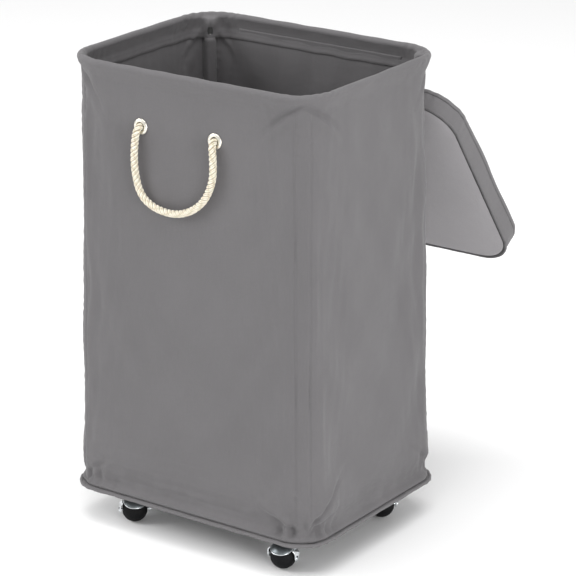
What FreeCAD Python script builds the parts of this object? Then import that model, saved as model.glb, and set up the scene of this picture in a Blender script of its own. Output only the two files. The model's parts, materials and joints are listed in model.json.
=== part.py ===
"""Rolling laundry hamper with a hinged lid, a rope handle and four ball casters.

Units are millimetres. +Z is up, +X runs along the long side to the right, -Y is the
front with the rope handle and +Y the back, where the lid is hinged. The origin is on
the floor under the middle of the footprint. The lid is drawn closed and then turned
about its hinge line to where it hangs open.
"""
import FreeCAD, Part
import math
import os

from FreeCAD import Vector

# ---- driving dimensions ------------------------------------------------------------
RIM_HALF_X, RIM_HALF_Y = 204.0, 160.0  # centre line of the rolled rim
RIM_CORNER_R = 54.0
RIM_Z = 683.0
RIM_TUBE_R = 6.0
RIM_WIRE_R = 2.25
RIM_WIRE_GAP = 0.25

WELT_HALF_X, WELT_HALF_Y = 211.0, 168.0  # centre line of the piping round the base
WELT_CORNER_R = 46.0
WELT_Z = 53.0
WELT_R = 3.2
WELT_WIRE_R = 1.5
WELT_WIRE_GAP = 0.2
WELT_GAP = 0.3  # from the piping to the wall above it and to the cloth inside it

WALL = 2.0  # cloth with its lining
WALL_BOTTOM_Z = WELT_Z + WELT_R + WELT_GAP
WALL_TOP_GAP = 0.2
WALL_TOP_Z = RIM_Z - RIM_TUBE_R - WALL_TOP_GAP
# outer faces of the walls: half width, front, back, corner radius
WALL_BOTTOM = (208.0, 165.0, 165.0, 46.0)
WALL_TOP = (202.0, 158.0, 155.0, 52.0)
SPLIT_X, SPLIT_Y = 147.0, 100.0  # the corner panels start here
SEAM_GAP = 0.1

POLE_R, POLE_WALL = 4.0, 0.8
POLE_BOTTOM_Z, POLE_TOP_Z = 62.0, 668.0
POLE_ANGLE = 50.0  # round the corner, from the X direction
CAP_R, CAP_LENGTH, CAP_END = 5.0, 10.0, 1.6
CAP_WALL_GAP = 0.6
SLEEVE_INNER_R, SLEEVE_OUTER_R = 5.3, 6.1
SLEEVE_LEG = 5.0  # from the middle of the pole to the sewn edges of its sleeve
SLEEVE_BOTTOM_Z, SLEEVE_TOP_Z = 78.0, 655.0

BOARD_HALF_X, BOARD_HALF_Y, BOARD_CORNER_R = 200.0, 157.0, 40.0
BOARD_THICK = 4.0
CLOTH_THICK = 1.2
CLOTH_BELOW_WELT = 1.0
CLOTH_BOTTOM_Z = WELT_Z - CLOTH_BELOW_WELT
BOARD_BOTTOM_Z = CLOTH_BOTTOM_Z + CLOTH_THICK

GROMMET_X = (-75.0, 50.0)
GROMMET_Z = 606.0
GROMMET_FLANGE_R, GROMMET_BARREL_R, GROMMET_HOLE_R = 11.0, 7.0, 5.6
GROMMET_FLANGE, GROMMET_WASHER = 1.2, 1.0
GROMMET_WALL_GAP = 0.15
GROMMET_ROLL = 0.4  # how far the barrel stands past the washer

ROPE_R = 5.25
HANDLE_Y = -167.0  # the rope hangs in this plane, and swings about its top ends
KNOT_R = 9.5
KNOT_Y = -145.5
ROPE_END_GAP = 0.35
BEND_SHARE = 0.45  # of the shorter run beside it, that each bend of the rope takes up
# route of the rope in its plane, x and z, from the left grommet to the right one
ROPE_ROUTE = [
    (-75.0, 606.0),
    (-82.0, 583.0),
    (-82.5, 549.0),
    (-71.0, 514.0),
    (-40.0, 496.0),
    (-2.0, 491.6),
    (33.0, 520.0),
    (53.0, 552.0),
    (53.5, 582.0),
    (50.0, 606.0),
]

LID_HALF_X, LID_HALF_Y, LID_CORNER_R = 213.5, 171.6, 57.0  # outside of the skirt
LID_SKIRT_BOTTOM_Z, LID_SKIRT_TOP_Z = 660.0, 691.0
LID_SKIRT = 1.2
LID_TAPE, LID_TAPE_HEIGHT = 0.9, 9.0
LID_LINING_Z, LID_LINING = 689.4, 0.8
LID_BOARD_Z, LID_BOARD = 690.3, 2.3
LID_COVER_Z, LID_COVER = 692.7, 1.2
LID_COVER_INSET, LID_BOARD_INSET, LID_LINING_INSET = 2.0, 4.5, 2.5
LID_TAPE_GAP = 0.1
LID_PIPING_R, LID_PIPING_INSET = 1.6, 0.2
LID_PIPING_Z = 692.7
LID_OPEN_ANGLE = 234.5  # from closed, up and over to the back
HINGE_Y, HINGE_Z = 188.6, 644.3
FLAP_HALF_X = 140.0
FLAP_THICK = 1.0
FLAP_ROOT_Z = 650.0  # where the flap is sewn to the back wall
FLAP_GAP = 3.5  # each half of the flap stops this far from the hinge line
FLAP_WALL_GAP, FLAP_SKIRT_GAP = 0.25, 0.7
FLAP_ABOVE_HEM = 0.5

CASTER_X, CASTER_Y = 140.5, 108.5  # swivel centres
CASTER_TRAIL = 27.0
WHEEL_R, WHEEL_HALF_WIDTH = 18.5, 17.8
AXLE_R, AXLE_HALF_LENGTH = 2.0, 21.9
WHEEL_BORE_R = 2.06
RIVET_R, RIVET_THICK = 3.4, 1.4
HOOD_INNER_R, HOOD_OUTER_R = 20.0, 21.8
HOOD_LIP = 11.0  # lowest edge of the hood above the axle
EAR_HALF_WIDTH = 5.5
EAR_SHOULDER = 2.4  # how far the ears run up over the hood
BOSS_R, BOSS_BOTTOM_Z, BOSS_TOP_Z = 9.0, 33.4, 46.5
BRIDGE_HALF_WIDTH, BRIDGE_TOP_Z = 7.5, 40.0
PLATE_HALF, PLATE_THICK, PLATE_CORNER_R = 19.0, 2.0, 4.0
PLATE_BOTTOM_Z = CLOTH_BOTTOM_Z - PLATE_THICK
RACE_R, RACE_GAP = 10.5, 0.3
KINGPIN_R, KINGPIN_HOLE_R = 3.0, 3.06
KINGPIN_HEAD_R, KINGPIN_HEAD = 4.5, 1.8
SCREW_OFFSET, SCREW_R, SCREW_HOLE_R = 14.0, 1.8, 1.95
SCREW_HEAD_R, SCREW_HEAD = 3.4, 1.6
SCREW_END_GAP = 0.4  # below the top of the board
BRIDGE_ABOVE_BOSS = 1.0
KINGPIN_END_GAP, KINGPIN_HEAD_GAP = 0.1, 0.3
# which way each caster trails, in degrees from +X
CASTERS = {
    "front_left": (-1, -1, -48.0),
    "front_right": (1, -1, -81.0),
    "back_right": (1, 1, -45.0),
    "back_left": (-1, 1, -57.0),
}
CORNERS = {
    "front_left": (-1, -1),
    "front_right": (1, -1),
    "back_right": (1, 1),
    "back_left": (-1, 1),
}

FIT = 0.02  # between a pin and a hole it is fixed in
TOUCH = 0.05  # between two pieces that lie against each other
REACH = 60.0  # how far a cutting tool runs past what it cuts

X_AXIS, Y_AXIS, Z_AXIS = Vector(1, 0, 0), Vector(0, 1, 0), Vector(0, 0, 1)


# ---- helpers -----------------------------------------------------------------------
def arc(start, middle, end):
    return Part.Arc(start, middle, end).toShape()


def line(start, end):
    return Part.makeLine(start, end)


def rounded_wire(half_x, half_y, radius, z):
    """A closed rounded rectangle in a level plane, counter-clockwise from the right."""
    flat_x, flat_y = half_x - radius, half_y - radius
    diagonal = radius * math.sqrt(0.5)
    edges = []
    for turn in range(4):
        centre = Vector(flat_x, flat_y, 0) if turn % 2 == 0 else Vector(flat_y, flat_x, 0)
        flat = flat_y if turn % 2 == 0 else flat_x
        start = Vector(centre.x + radius, -flat, 0)
        corner = [
            Vector(centre.x + radius, centre.y, 0),
            Vector(centre.x + diagonal, centre.y + diagonal, 0),
            Vector(centre.x, centre.y + radius, 0),
        ]
        for edge in (line(start, corner[0]), arc(*corner)):
            edge.rotate(Vector(), Z_AXIS, 90.0 * turn)
            edges.append(edge)
    wire = Part.Wire(edges)
    wire.translate(Vector(0, 0, z))
    return wire


def slab(half_x, half_y, radius, z, thick):
    face = Part.Face(rounded_wire(half_x, half_y, radius, z))
    return face.extrude(Vector(0, 0, thick))


def band(half_x, half_y, radius, thick, z, height):
    """An upright band of cloth that follows a rounded rectangle, measured outside."""
    outer = slab(half_x, half_y, radius, z, height)
    inner = slab(half_x - thick, half_y - thick, radius - thick, z, height)
    return outer.cut(inner)


def ring_tube(half_x, half_y, radius, z, tube_r):
    """A round tube that follows a rounded rectangle."""
    path = rounded_wire(half_x, half_y, radius, z)
    start = Vector(half_x, radius - half_y, z)
    section = Part.Wire(Part.makeCircle(tube_r, start, Y_AXIS))
    return path.makePipeShell([section], True, True)


def rod(radius, start, end):
    return Part.makeCylinder(radius, (end - start).Length, start, end - start)


def between(low, high, z):
    """The walls' outer sizes at a height."""
    share = (z - WALL_BOTTOM_Z) / (WALL_TOP_Z - WALL_BOTTOM_Z)
    return [a + (b - a) * share for a, b in zip(low, high)]


def wall_size(z):
    return between(WALL_BOTTOM, WALL_TOP, z)


def turned(shape, centre, angle):
    copy = shape.copy()
    copy.rotate(Vector(centre[0], centre[1], 0), Z_AXIS, angle)
    return copy


# ---- cloth body --------------------------------------------------------------------
def flat_wall(side):
    """A flat wall between two corner panels: front, back, left or right."""
    wires = []
    for z in (WALL_BOTTOM_Z, WALL_TOP_Z):
        half_x, front, back, _ = wall_size(z)
        along_x, along_y = SPLIT_X - SEAM_GAP, SPLIT_Y - SEAM_GAP
        spans = {
            "front": (-along_x, along_x, -front, -front + WALL),
            "back": (-along_x, along_x, back - WALL, back),
            "left": (-half_x, -half_x + WALL, -along_y, along_y),
            "right": (half_x - WALL, half_x, -along_y, along_y),
        }
        x0, x1, y0, y1 = spans[side]
        corners = [Vector(x0, y0, z), Vector(x1, y0, z), Vector(x1, y1, z), Vector(x0, y1, z)]
        wires.append(Part.makePolygon(corners + corners[:1]))
    return Part.makeLoft(wires, True, True)


def corner_wire(side_x, side_y, z):
    half_x, front, back, radius = wall_size(z)
    half_y = front if side_y < 0 else back
    centre = Vector(half_x - radius, half_y - radius, 0)

    def curve(r):
        diagonal = r * math.sqrt(0.5)
        return [
            centre + Vector(0, r, 0),
            centre + Vector(diagonal, diagonal, 0),
            centre + Vector(r, 0, 0),
        ]

    outer, inner = curve(radius), curve(radius - WALL)
    points = [Vector(SPLIT_X, half_y, 0), *outer, Vector(half_x, SPLIT_Y, 0)]
    points += [Vector(half_x - WALL, SPLIT_Y, 0), *reversed(inner), Vector(SPLIT_X, half_y - WALL, 0)]
    points = [Vector(p.x * side_x, p.y * side_y, z) for p in points]
    edges = [
        arc(*points[1:4]),
        line(points[3], points[4]),
        line(points[4], points[5]),
        line(points[5], points[6]),
        arc(*points[6:9]),
        line(points[8], points[9]),
        line(points[9], points[0]),
        line(points[0], points[1]),
    ]
    return Part.Wire(Part.__sortEdges__(edges))


def corner_panel(side_x, side_y):
    bottom = corner_wire(side_x, side_y, WALL_BOTTOM_Z)
    top = corner_wire(side_x, side_y, WALL_TOP_Z)
    return Part.makeLoft([bottom, top], True, True)


def front_wall():
    wall = flat_wall("front")
    for x in GROMMET_X:
        before = Vector(x, HANDLE_Y, GROMMET_Z)
        wall = wall.cut(Part.makeCylinder(GROMMET_BARREL_R + TOUCH, REACH, before, Y_AXIS))
    return wall


def rim_hem():
    """The cloth rolled round the rim wire."""
    shape = (RIM_HALF_X, RIM_HALF_Y, RIM_CORNER_R, RIM_Z)
    return ring_tube(*shape, RIM_TUBE_R).cut(ring_tube(*shape, RIM_WIRE_R + RIM_WIRE_GAP))


def rim_wire():
    return ring_tube(RIM_HALF_X, RIM_HALF_Y, RIM_CORNER_R, RIM_Z, RIM_WIRE_R)


def base_welt():
    shape = (WELT_HALF_X, WELT_HALF_Y, WELT_CORNER_R, WELT_Z)
    return ring_tube(*shape, WELT_R).cut(ring_tube(*shape, WELT_WIRE_R + WELT_WIRE_GAP))


def base_wire():
    return ring_tube(WELT_HALF_X, WELT_HALF_Y, WELT_CORNER_R, WELT_Z, WELT_WIRE_R)


# ---- corner poles ------------------------------------------------------------------
def pole_point(side_x, side_y, z):
    """Where the middle of a corner pole passes a height, just inside the corner."""
    half_x, front, back, radius = wall_size(z)
    half_y = front if side_y < 0 else back
    reach = radius - WALL - CAP_R - CAP_WALL_GAP
    angle = math.radians(POLE_ANGLE)
    x = half_x - radius + reach * math.cos(angle)
    y = half_y - radius + reach * math.sin(angle)
    return Vector(side_x * x, side_y * y, z)


def pole(side_x, side_y):
    start = pole_point(side_x, side_y, POLE_BOTTOM_Z)
    end = pole_point(side_x, side_y, POLE_TOP_Z)
    return rod(POLE_R, start, end).cut(rod(POLE_R - POLE_WALL, start, end))


def pole_caps():
    caps = []
    for side_x, side_y in CORNERS.values():
        bottom = pole_point(side_x, side_y, POLE_BOTTOM_Z)
        top = pole_point(side_x, side_y, POLE_TOP_Z)
        along = (top - bottom).normalize()
        for end, inward in ((bottom, along), (top, along * -1)):
            outside = end - inward * CAP_END
            inside = end + inward * (CAP_LENGTH - CAP_END)
            cup = rod(CAP_R, outside, inside)
            caps.append(cup.cut(rod(POLE_R + FIT, end - inward * FIT, inside + inward)))
    return Part.makeCompound(caps)


def pole_sleeve(side_x, side_y):
    """The strip of cloth that holds the pole in its corner, sewn down along both edges."""
    start = pole_point(side_x, side_y, SLEEVE_BOTTOM_Z)
    end = pole_point(side_x, side_y, SLEEVE_TOP_Z)
    angle = math.radians(POLE_ANGLE)
    outward = Vector(side_x * math.cos(angle), side_y * math.sin(angle), 0)
    across = Z_AXIS.cross(outward)

    def loop(radius):
        """Sewn edge, round the inner side of the pole, and the other sewn edge."""
        sides = [start + across * radius, start - across * radius]
        edge = outward * SLEEVE_LEG
        return sides[0] + edge, sides[0], start - outward * radius, sides[1], sides[1] + edge

    outer, inner = loop(SLEEVE_OUTER_R), loop(SLEEVE_INNER_R)
    edges = [line(outer[0], outer[1]), arc(*outer[1:4]), line(outer[3], outer[4]),
             line(outer[4], inner[4]), line(inner[4], inner[3]), arc(inner[3], inner[2], inner[1]),
             line(inner[1], inner[0]), line(inner[0], outer[0])]
    return Part.Face(Part.Wire(edges)).extrude(end - start)


# ---- base --------------------------------------------------------------------------
def screw_places():
    places = []
    for side_x, side_y, _ in CASTERS.values():
        for dx in (-SCREW_OFFSET, SCREW_OFFSET):
            for dy in (-SCREW_OFFSET, SCREW_OFFSET):
                places.append((side_x * CASTER_X + dx, side_y * CASTER_Y + dy))
    return places


def drilled(shape, places, radius):
    for x, y in places:
        shape = shape.cut(Part.makeCylinder(radius, REACH, Vector(x, y, WELT_Z - REACH / 2)))
    return shape


def base_board():
    board = slab(BOARD_HALF_X, BOARD_HALF_Y, BOARD_CORNER_R, BOARD_BOTTOM_Z, BOARD_THICK)
    return drilled(board, screw_places(), SCREW_HOLE_R)


def base_cloth():
    inset = WELT_R + WELT_GAP
    cloth = slab(WELT_HALF_X - inset, WELT_HALF_Y - inset, WELT_CORNER_R - inset,
                 CLOTH_BOTTOM_Z, CLOTH_THICK - TOUCH)
    return drilled(cloth, screw_places(), SCREW_HOLE_R)


# ---- rope handle -------------------------------------------------------------------
def wall_front_y(z):
    return -wall_size(z)[1]


def grommets():
    """Two eyelets: a front flange with its barrel through the cloth."""
    face = wall_front_y(GROMMET_Z) - GROMMET_WALL_GAP
    length = GROMMET_FLANGE + WALL + GROMMET_WASHER + GROMMET_ROLL
    pieces = []
    for x in GROMMET_X:
        front = Vector(x, face - GROMMET_FLANGE, GROMMET_Z)
        eyelet = Part.makeCylinder(GROMMET_FLANGE_R, GROMMET_FLANGE, front, Y_AXIS)
        eyelet = eyelet.fuse(Part.makeCylinder(GROMMET_BARREL_R, length, front, Y_AXIS))
        hole = Part.makeCylinder(GROMMET_HOLE_R, REACH, front - Y_AXIS * REACH / 2, Y_AXIS)
        pieces.append(eyelet.cut(hole).removeSplitter())
    return Part.makeCompound(pieces)


def grommet_washers():
    inside = wall_front_y(GROMMET_Z) + WALL + GROMMET_WALL_GAP
    pieces = []
    for x in GROMMET_X:
        start = Vector(x, inside, GROMMET_Z)
        washer = Part.makeCylinder(GROMMET_FLANGE_R, GROMMET_WASHER, start, Y_AXIS)
        hole = Part.makeCylinder(GROMMET_BARREL_R + TOUCH, REACH, start - Y_AXIS * REACH / 2, Y_AXIS)
        pieces.append(washer.cut(hole))
    return Part.makeCompound(pieces)


def rope_end(x):
    """The end of the rope: through the eyelet, and knotted inside."""
    start = Vector(x, HANDLE_Y + ROPE_R + ROPE_END_GAP, GROMMET_Z)
    knot = Vector(x, KNOT_Y, GROMMET_Z)
    stub = rod(ROPE_R, start, knot)
    return stub.fuse(Part.makeSphere(KNOT_R, knot)).removeSplitter()


def rope_path():
    """Straight runs joined by arcs, each as large as its two runs allow."""
    points = [Vector(x, HANDLE_Y, z) for x, z in ROPE_ROUTE]
    edges, radii = [], []
    last = points[0]
    for before, here, after in zip(points, points[1:], points[2:]):
        back, on = (before - here), (after - here)
        cut = BEND_SHARE * min(back.Length, on.Length)
        back.normalize()
        on.normalize()
        turn = math.pi - back.getAngle(on)
        radius = cut / math.tan(turn / 2)
        radii.append(round(radius, 1))
        start, end = here + back * cut, here + on * cut
        bisector = (back + on).normalize()
        middle = here + bisector * (radius / math.cos(turn / 2) - radius)
        edges.append(line(last, start))
        edges.append(arc(start, middle, end))
        last = end
    edges.append(line(last, points[-1]))
    return Part.Wire(edges), radii


def rope_handle():
    path, radii = rope_path()
    start = path.Edges[0].Vertexes[0].Point
    along = path.Edges[0].tangentAt(path.Edges[0].FirstParameter)
    section = Part.Wire(Part.makeCircle(ROPE_R, start, along))
    tube = path.makePipeShell([section], True, True)
    expected = math.pi * ROPE_R**2 * path.Length
    print("rope: length", round(path.Length, 1), "radii", radii,
          "volume over section times length", round(tube.Volume / expected, 4))
    for x, z in (ROPE_ROUTE[0], ROPE_ROUTE[-1]):
        tube = tube.fuse(Part.makeSphere(ROPE_R, Vector(x, HANDLE_Y, z)))
    return tube.removeSplitter()


# ---- lid, drawn closed -------------------------------------------------------------
def opened(shape):
    """Turns a piece of the closed lid to where it hangs open behind the hamper."""
    copy = shape.copy()
    copy.rotate(Vector(0, HINGE_Y, HINGE_Z), X_AXIS, -LID_OPEN_ANGLE)
    return copy


def lid_skirt():
    height = LID_SKIRT_TOP_Z - LID_SKIRT_BOTTOM_Z
    return band(LID_HALF_X, LID_HALF_Y, LID_CORNER_R, LID_SKIRT, LID_SKIRT_BOTTOM_Z, height)


def lid_hem_tape():
    inset = LID_SKIRT + LID_TAPE_GAP
    return band(LID_HALF_X - inset, LID_HALF_Y - inset, LID_CORNER_R - inset,
                LID_TAPE, LID_SKIRT_BOTTOM_Z, LID_TAPE_HEIGHT)


def lid_slab(inset, z, thick):
    return slab(LID_HALF_X - inset, LID_HALF_Y - inset, LID_CORNER_R - inset, z, thick)


def lid_piping():
    inset = LID_PIPING_INSET
    return ring_tube(LID_HALF_X - inset, LID_HALF_Y - inset, LID_CORNER_R - inset,
                     LID_PIPING_Z, LID_PIPING_R)


# ---- flap that hinges the lid ------------------------------------------------------
def strip(start, end):
    """A strip of cloth along X between two points of the side view."""
    along = (end - start).normalize()
    across = along.cross(X_AXIS) * (FLAP_THICK / 2)
    left = Vector(-FLAP_HALF_X, 0, 0)
    points = [start + across, end + across, end - across, start - across]
    points = [p + left for p in points]
    face = Part.Face(Part.makePolygon(points + points[:1]))
    return face.extrude(Vector(2 * FLAP_HALF_X, 0, 0))


def hinge_flap_body():
    hinge = Vector(0, HINGE_Y, HINGE_Z)
    sewn = Vector(0, wall_size(FLAP_ROOT_Z)[2] + FLAP_WALL_GAP, FLAP_ROOT_Z)
    along = (sewn - hinge).normalize()
    return strip(hinge + along * FLAP_GAP, sewn)


def hinge_flap_lid():
    hinge = Vector(0, HINGE_Y, HINGE_Z)
    sewn = Vector(0, LID_HALF_Y + FLAP_SKIRT_GAP, LID_SKIRT_BOTTOM_Z + FLAP_ABOVE_HEM)
    along = (sewn - hinge).normalize()
    return strip(hinge + along * FLAP_GAP, sewn)


# ---- casters -----------------------------------------------------------------------
def caster_plate(x, y):
    plate = slab(PLATE_HALF, PLATE_HALF, PLATE_CORNER_R, PLATE_BOTTOM_Z, PLATE_THICK - TOUCH)
    race_bottom = BOSS_TOP_Z + RACE_GAP
    race = Part.makeCylinder(RACE_R, PLATE_BOTTOM_Z - race_bottom, Vector(0, 0, race_bottom))
    plate = plate.fuse(race)
    plate.translate(Vector(x, y, 0))
    plate = drilled(plate, screw_places(), SCREW_HOLE_R)
    pin = Part.makeCylinder(KINGPIN_R + FIT, REACH, Vector(x, y, BOSS_TOP_Z))
    return plate.cut(pin).removeSplitter()


def kingpin(x, y):
    """The rivet that the fork swivels on, held in the plate."""
    head_top = BOSS_BOTTOM_Z - KINGPIN_HEAD_GAP
    top = PLATE_BOTTOM_Z + PLATE_THICK - KINGPIN_END_GAP
    shank = Part.makeCylinder(KINGPIN_R, top - head_top, Vector(x, y, head_top))
    head = Part.makeCylinder(KINGPIN_HEAD_R, KINGPIN_HEAD, Vector(x, y, head_top - KINGPIN_HEAD))
    return shank.fuse(head).removeSplitter()


def ear_outline():
    """Side view of both ears: upright edges with a half round below the axle."""
    low_x, high_x = CASTER_TRAIL - EAR_HALF_WIDTH, CASTER_TRAIL + EAR_HALF_WIDTH
    y, top = -HOOD_OUTER_R, WHEEL_R + HOOD_LIP + EAR_SHOULDER
    corners = [Vector(high_x, y, WHEEL_R), Vector(high_x, y, top),
               Vector(low_x, y, top), Vector(low_x, y, WHEEL_R)]
    bottom = Vector(CASTER_TRAIL, y, WHEEL_R - EAR_HALF_WIDTH)
    edges = [line(p, q) for p, q in zip(corners, corners[1:])]
    edges.append(arc(corners[3], bottom, corners[0]))
    return Part.Face(Part.Wire(edges))


def caster_fork():
    """The hooded yoke, drawn with its swivel on the Z axis and trailing along +X."""
    wheel = Vector(CASTER_TRAIL, 0, WHEEL_R)
    hood = Part.makeSphere(HOOD_OUTER_R, wheel, Y_AXIS)
    below = Part.makeBox(2 * REACH, 2 * REACH, REACH, Vector(-REACH, -REACH, WHEEL_R + HOOD_LIP - REACH))
    hood = hood.cut(below)
    boss = Part.makeCylinder(BOSS_R, BOSS_TOP_Z - BOSS_BOTTOM_Z, Vector(0, 0, BOSS_BOTTOM_Z))
    bridge_bottom = BOSS_BOTTOM_Z + BRIDGE_ABOVE_BOSS
    bridge = Part.makeBox(CASTER_TRAIL, 2 * BRIDGE_HALF_WIDTH, BRIDGE_TOP_Z - bridge_bottom,
                          Vector(0, -BRIDGE_HALF_WIDTH, bridge_bottom))
    ears = ear_outline().extrude(Vector(0, 2 * HOOD_OUTER_R, 0))
    shell = hood.fuse([boss, bridge, ears])
    shell = shell.cut(Part.makeSphere(HOOD_INNER_R, wheel, Y_AXIS))
    axle_hole = Part.makeCylinder(AXLE_R + FIT, REACH, wheel - Y_AXIS * REACH / 2, Y_AXIS)
    pin_hole = Part.makeCylinder(KINGPIN_HOLE_R, REACH, Vector())
    return shell.cut(axle_hole).cut(pin_hole)


def caster_axle():
    wheel = Vector(CASTER_TRAIL, 0, WHEEL_R)
    axle = Part.makeCylinder(AXLE_R, 2 * AXLE_HALF_LENGTH, wheel - Y_AXIS * AXLE_HALF_LENGTH, Y_AXIS)
    for side in (-1, 1):
        start = wheel + Y_AXIS * (side * AXLE_HALF_LENGTH)
        axle = axle.fuse(Part.makeCylinder(RIVET_R, RIVET_THICK, start, Y_AXIS * side))
    return axle.removeSplitter()


def caster_wheel():
    wheel = Vector(CASTER_TRAIL, 0, WHEEL_R)
    ball = Part.makeSphere(WHEEL_R, wheel)
    slice_box = Part.makeBox(2 * REACH, 2 * WHEEL_HALF_WIDTH, 2 * REACH,
                             Vector(-REACH, -WHEEL_HALF_WIDTH, -REACH))
    bore = Part.makeCylinder(WHEEL_BORE_R, REACH, wheel - Y_AXIS * REACH / 2, Y_AXIS)
    return ball.common(slice_box).cut(bore).removeSplitter()


def caster_screws():
    pieces = []
    for x, y in screw_places():
        low = Vector(x, y, PLATE_BOTTOM_Z - TOUCH)
        top = Vector(x, y, BOARD_BOTTOM_Z + BOARD_THICK - SCREW_END_GAP)
        head = Part.makeCylinder(SCREW_HEAD_R, SCREW_HEAD, low - Z_AXIS * SCREW_HEAD)
        pieces.append(head.fuse(rod(SCREW_R, low, top)).removeSplitter())
    return Part.makeCompound(pieces)


# ---- the whole hamper --------------------------------------------------------------
def all_nodes():
    nodes = {
        "front_wall": front_wall(),
        "rim_hem": rim_hem(),
        "rim_wire": rim_wire(),
        "base_welt": base_welt(),
        "base_wire": base_wire(),
        "base_board": base_board(),
        "base_cloth": base_cloth(),
        "pole_caps": pole_caps(),
        "grommets": grommets(),
        "grommet_washers": grommet_washers(),
        "rope_end_left": rope_end(GROMMET_X[0]),
        "rope_end_right": rope_end(GROMMET_X[1]),
        "rope_handle": rope_handle(),
        "lid_cover": opened(lid_slab(LID_COVER_INSET, LID_COVER_Z, LID_COVER)),
        "lid_board": opened(lid_slab(LID_BOARD_INSET, LID_BOARD_Z, LID_BOARD)),
        "lid_lining": opened(lid_slab(LID_LINING_INSET, LID_LINING_Z, LID_LINING)),
        "lid_skirt": opened(lid_skirt()),
        "lid_hem_tape": opened(lid_hem_tape()),
        "lid_piping": opened(lid_piping()),
        "hinge_flap_body": hinge_flap_body(),
        "hinge_flap_lid": opened(hinge_flap_lid()),
        "caster_screws": caster_screws(),
    }
    for side in ("back", "left", "right"):
        nodes[f"{side}_wall"] = flat_wall(side)
    for name, (side_x, side_y) in CORNERS.items():
        nodes[f"corner_panel_{name}"] = corner_panel(side_x, side_y)
        nodes[f"corner_pole_{name}"] = pole(side_x, side_y)
        nodes[f"pole_sleeve_{name}"] = pole_sleeve(side_x, side_y)
    for name, (side_x, side_y, angle) in CASTERS.items():
        x, y = side_x * CASTER_X, side_y * CASTER_Y
        nodes[f"caster_plate_{name}"] = caster_plate(x, y)
        nodes[f"caster_kingpin_{name}"] = kingpin(x, y)
        moving = {"fork": caster_fork(), "axle": caster_axle(), "wheel": caster_wheel()}
        for piece, shape in moving.items():
            placed = turned(shape, (0, 0), angle)
            placed.translate(Vector(x, y, 0))
            nodes[f"caster_{piece}_{name}"] = placed
    return nodes


os.makedirs("parts", exist_ok=True)
for node, shape in all_nodes().items():
    if not shape.isValid():
        print("not valid:", node)
    shape.exportStep(f"parts/{node}.step")
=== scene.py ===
"""Looks of the rolling laundry hamper: cloth body, rope handle, lid, casters and studio."""
import json
import math

import bmesh
import bpy
import numpy as np
from mathutils import Matrix, Vector

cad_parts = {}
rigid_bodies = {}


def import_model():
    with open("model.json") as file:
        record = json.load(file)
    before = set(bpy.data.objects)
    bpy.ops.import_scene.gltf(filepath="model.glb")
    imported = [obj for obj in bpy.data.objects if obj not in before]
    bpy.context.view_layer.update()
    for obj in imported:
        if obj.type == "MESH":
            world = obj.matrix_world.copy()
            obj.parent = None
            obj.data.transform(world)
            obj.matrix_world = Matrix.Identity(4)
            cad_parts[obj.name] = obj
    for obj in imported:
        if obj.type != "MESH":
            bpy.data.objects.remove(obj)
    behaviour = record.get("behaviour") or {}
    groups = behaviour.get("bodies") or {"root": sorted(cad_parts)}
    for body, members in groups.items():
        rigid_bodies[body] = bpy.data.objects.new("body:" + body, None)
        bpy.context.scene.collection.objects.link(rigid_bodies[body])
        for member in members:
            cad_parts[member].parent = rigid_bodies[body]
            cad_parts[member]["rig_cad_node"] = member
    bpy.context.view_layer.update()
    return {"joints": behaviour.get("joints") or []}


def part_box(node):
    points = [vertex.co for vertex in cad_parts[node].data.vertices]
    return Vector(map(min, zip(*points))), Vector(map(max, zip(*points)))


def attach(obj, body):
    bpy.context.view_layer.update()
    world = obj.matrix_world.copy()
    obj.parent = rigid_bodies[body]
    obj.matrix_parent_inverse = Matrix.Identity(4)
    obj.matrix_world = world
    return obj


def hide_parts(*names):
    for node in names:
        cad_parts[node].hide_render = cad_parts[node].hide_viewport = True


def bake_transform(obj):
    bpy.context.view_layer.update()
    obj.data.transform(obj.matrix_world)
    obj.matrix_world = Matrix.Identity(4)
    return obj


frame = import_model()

MM = 0.001

# ---- sizes, in millimetres, that repeat the frame ------------------------------------
RIM_HALF = (204.0, 160.0, 160.0, 54.0)  # half width, front, back, corner radius
RIM_Z, RIM_R = 683.0, 5.6
WELT_HALF = (211.0, 168.0, 168.0, 46.0)
WELT_Z, WELT_R = 53.0, 3.2
WALL_LOW_Z, WALL_HIGH_Z = 56.0, 677.5
WALL_LOW = (208.0, 165.0, 165.0, 46.0)
WALL_HIGH = (202.0, 158.0, 155.0, 52.0)
CLOTH = 0.9
SLEEVE_ANGLE = 50.0
SLEEVE_HALF = 10.0  # from the middle of a pole sleeve to its seams, round the corner
SEAM_LOW_Z, SEAM_HIGH_Z = 74.0, 664.0
LID_HALF = (213.5, 171.6, 171.6, 57.0)
LID_LOW_Z, LID_TOP_Z, LID_LINING_Z = 660.0, 693.6, 689.35
HANDLE_Y = -167.0  # the rope hangs just clear of the wall
GROMMET_X, GROMMET_Z = (-75.0, 50.0), 606.0
GROMMET_FACE_Y = -159.0
ROPE_R = 5.25
STRAND_SHARE = 0.465  # radius of a strand over that of the rope
ROPE_STRANDS, ROPE_LAY = 3, 20.5  # the lay is the length of one turn of a strand
CORNER_SEGMENTS = {"back_right": 1, "back_left": 3, "front_left": 5, "front_right": 7}
FRONT_SEGMENT = 6

joints = {j["name"]: j for j in frame["joints"]}
rng = np.random.RandomState(11)


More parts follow.
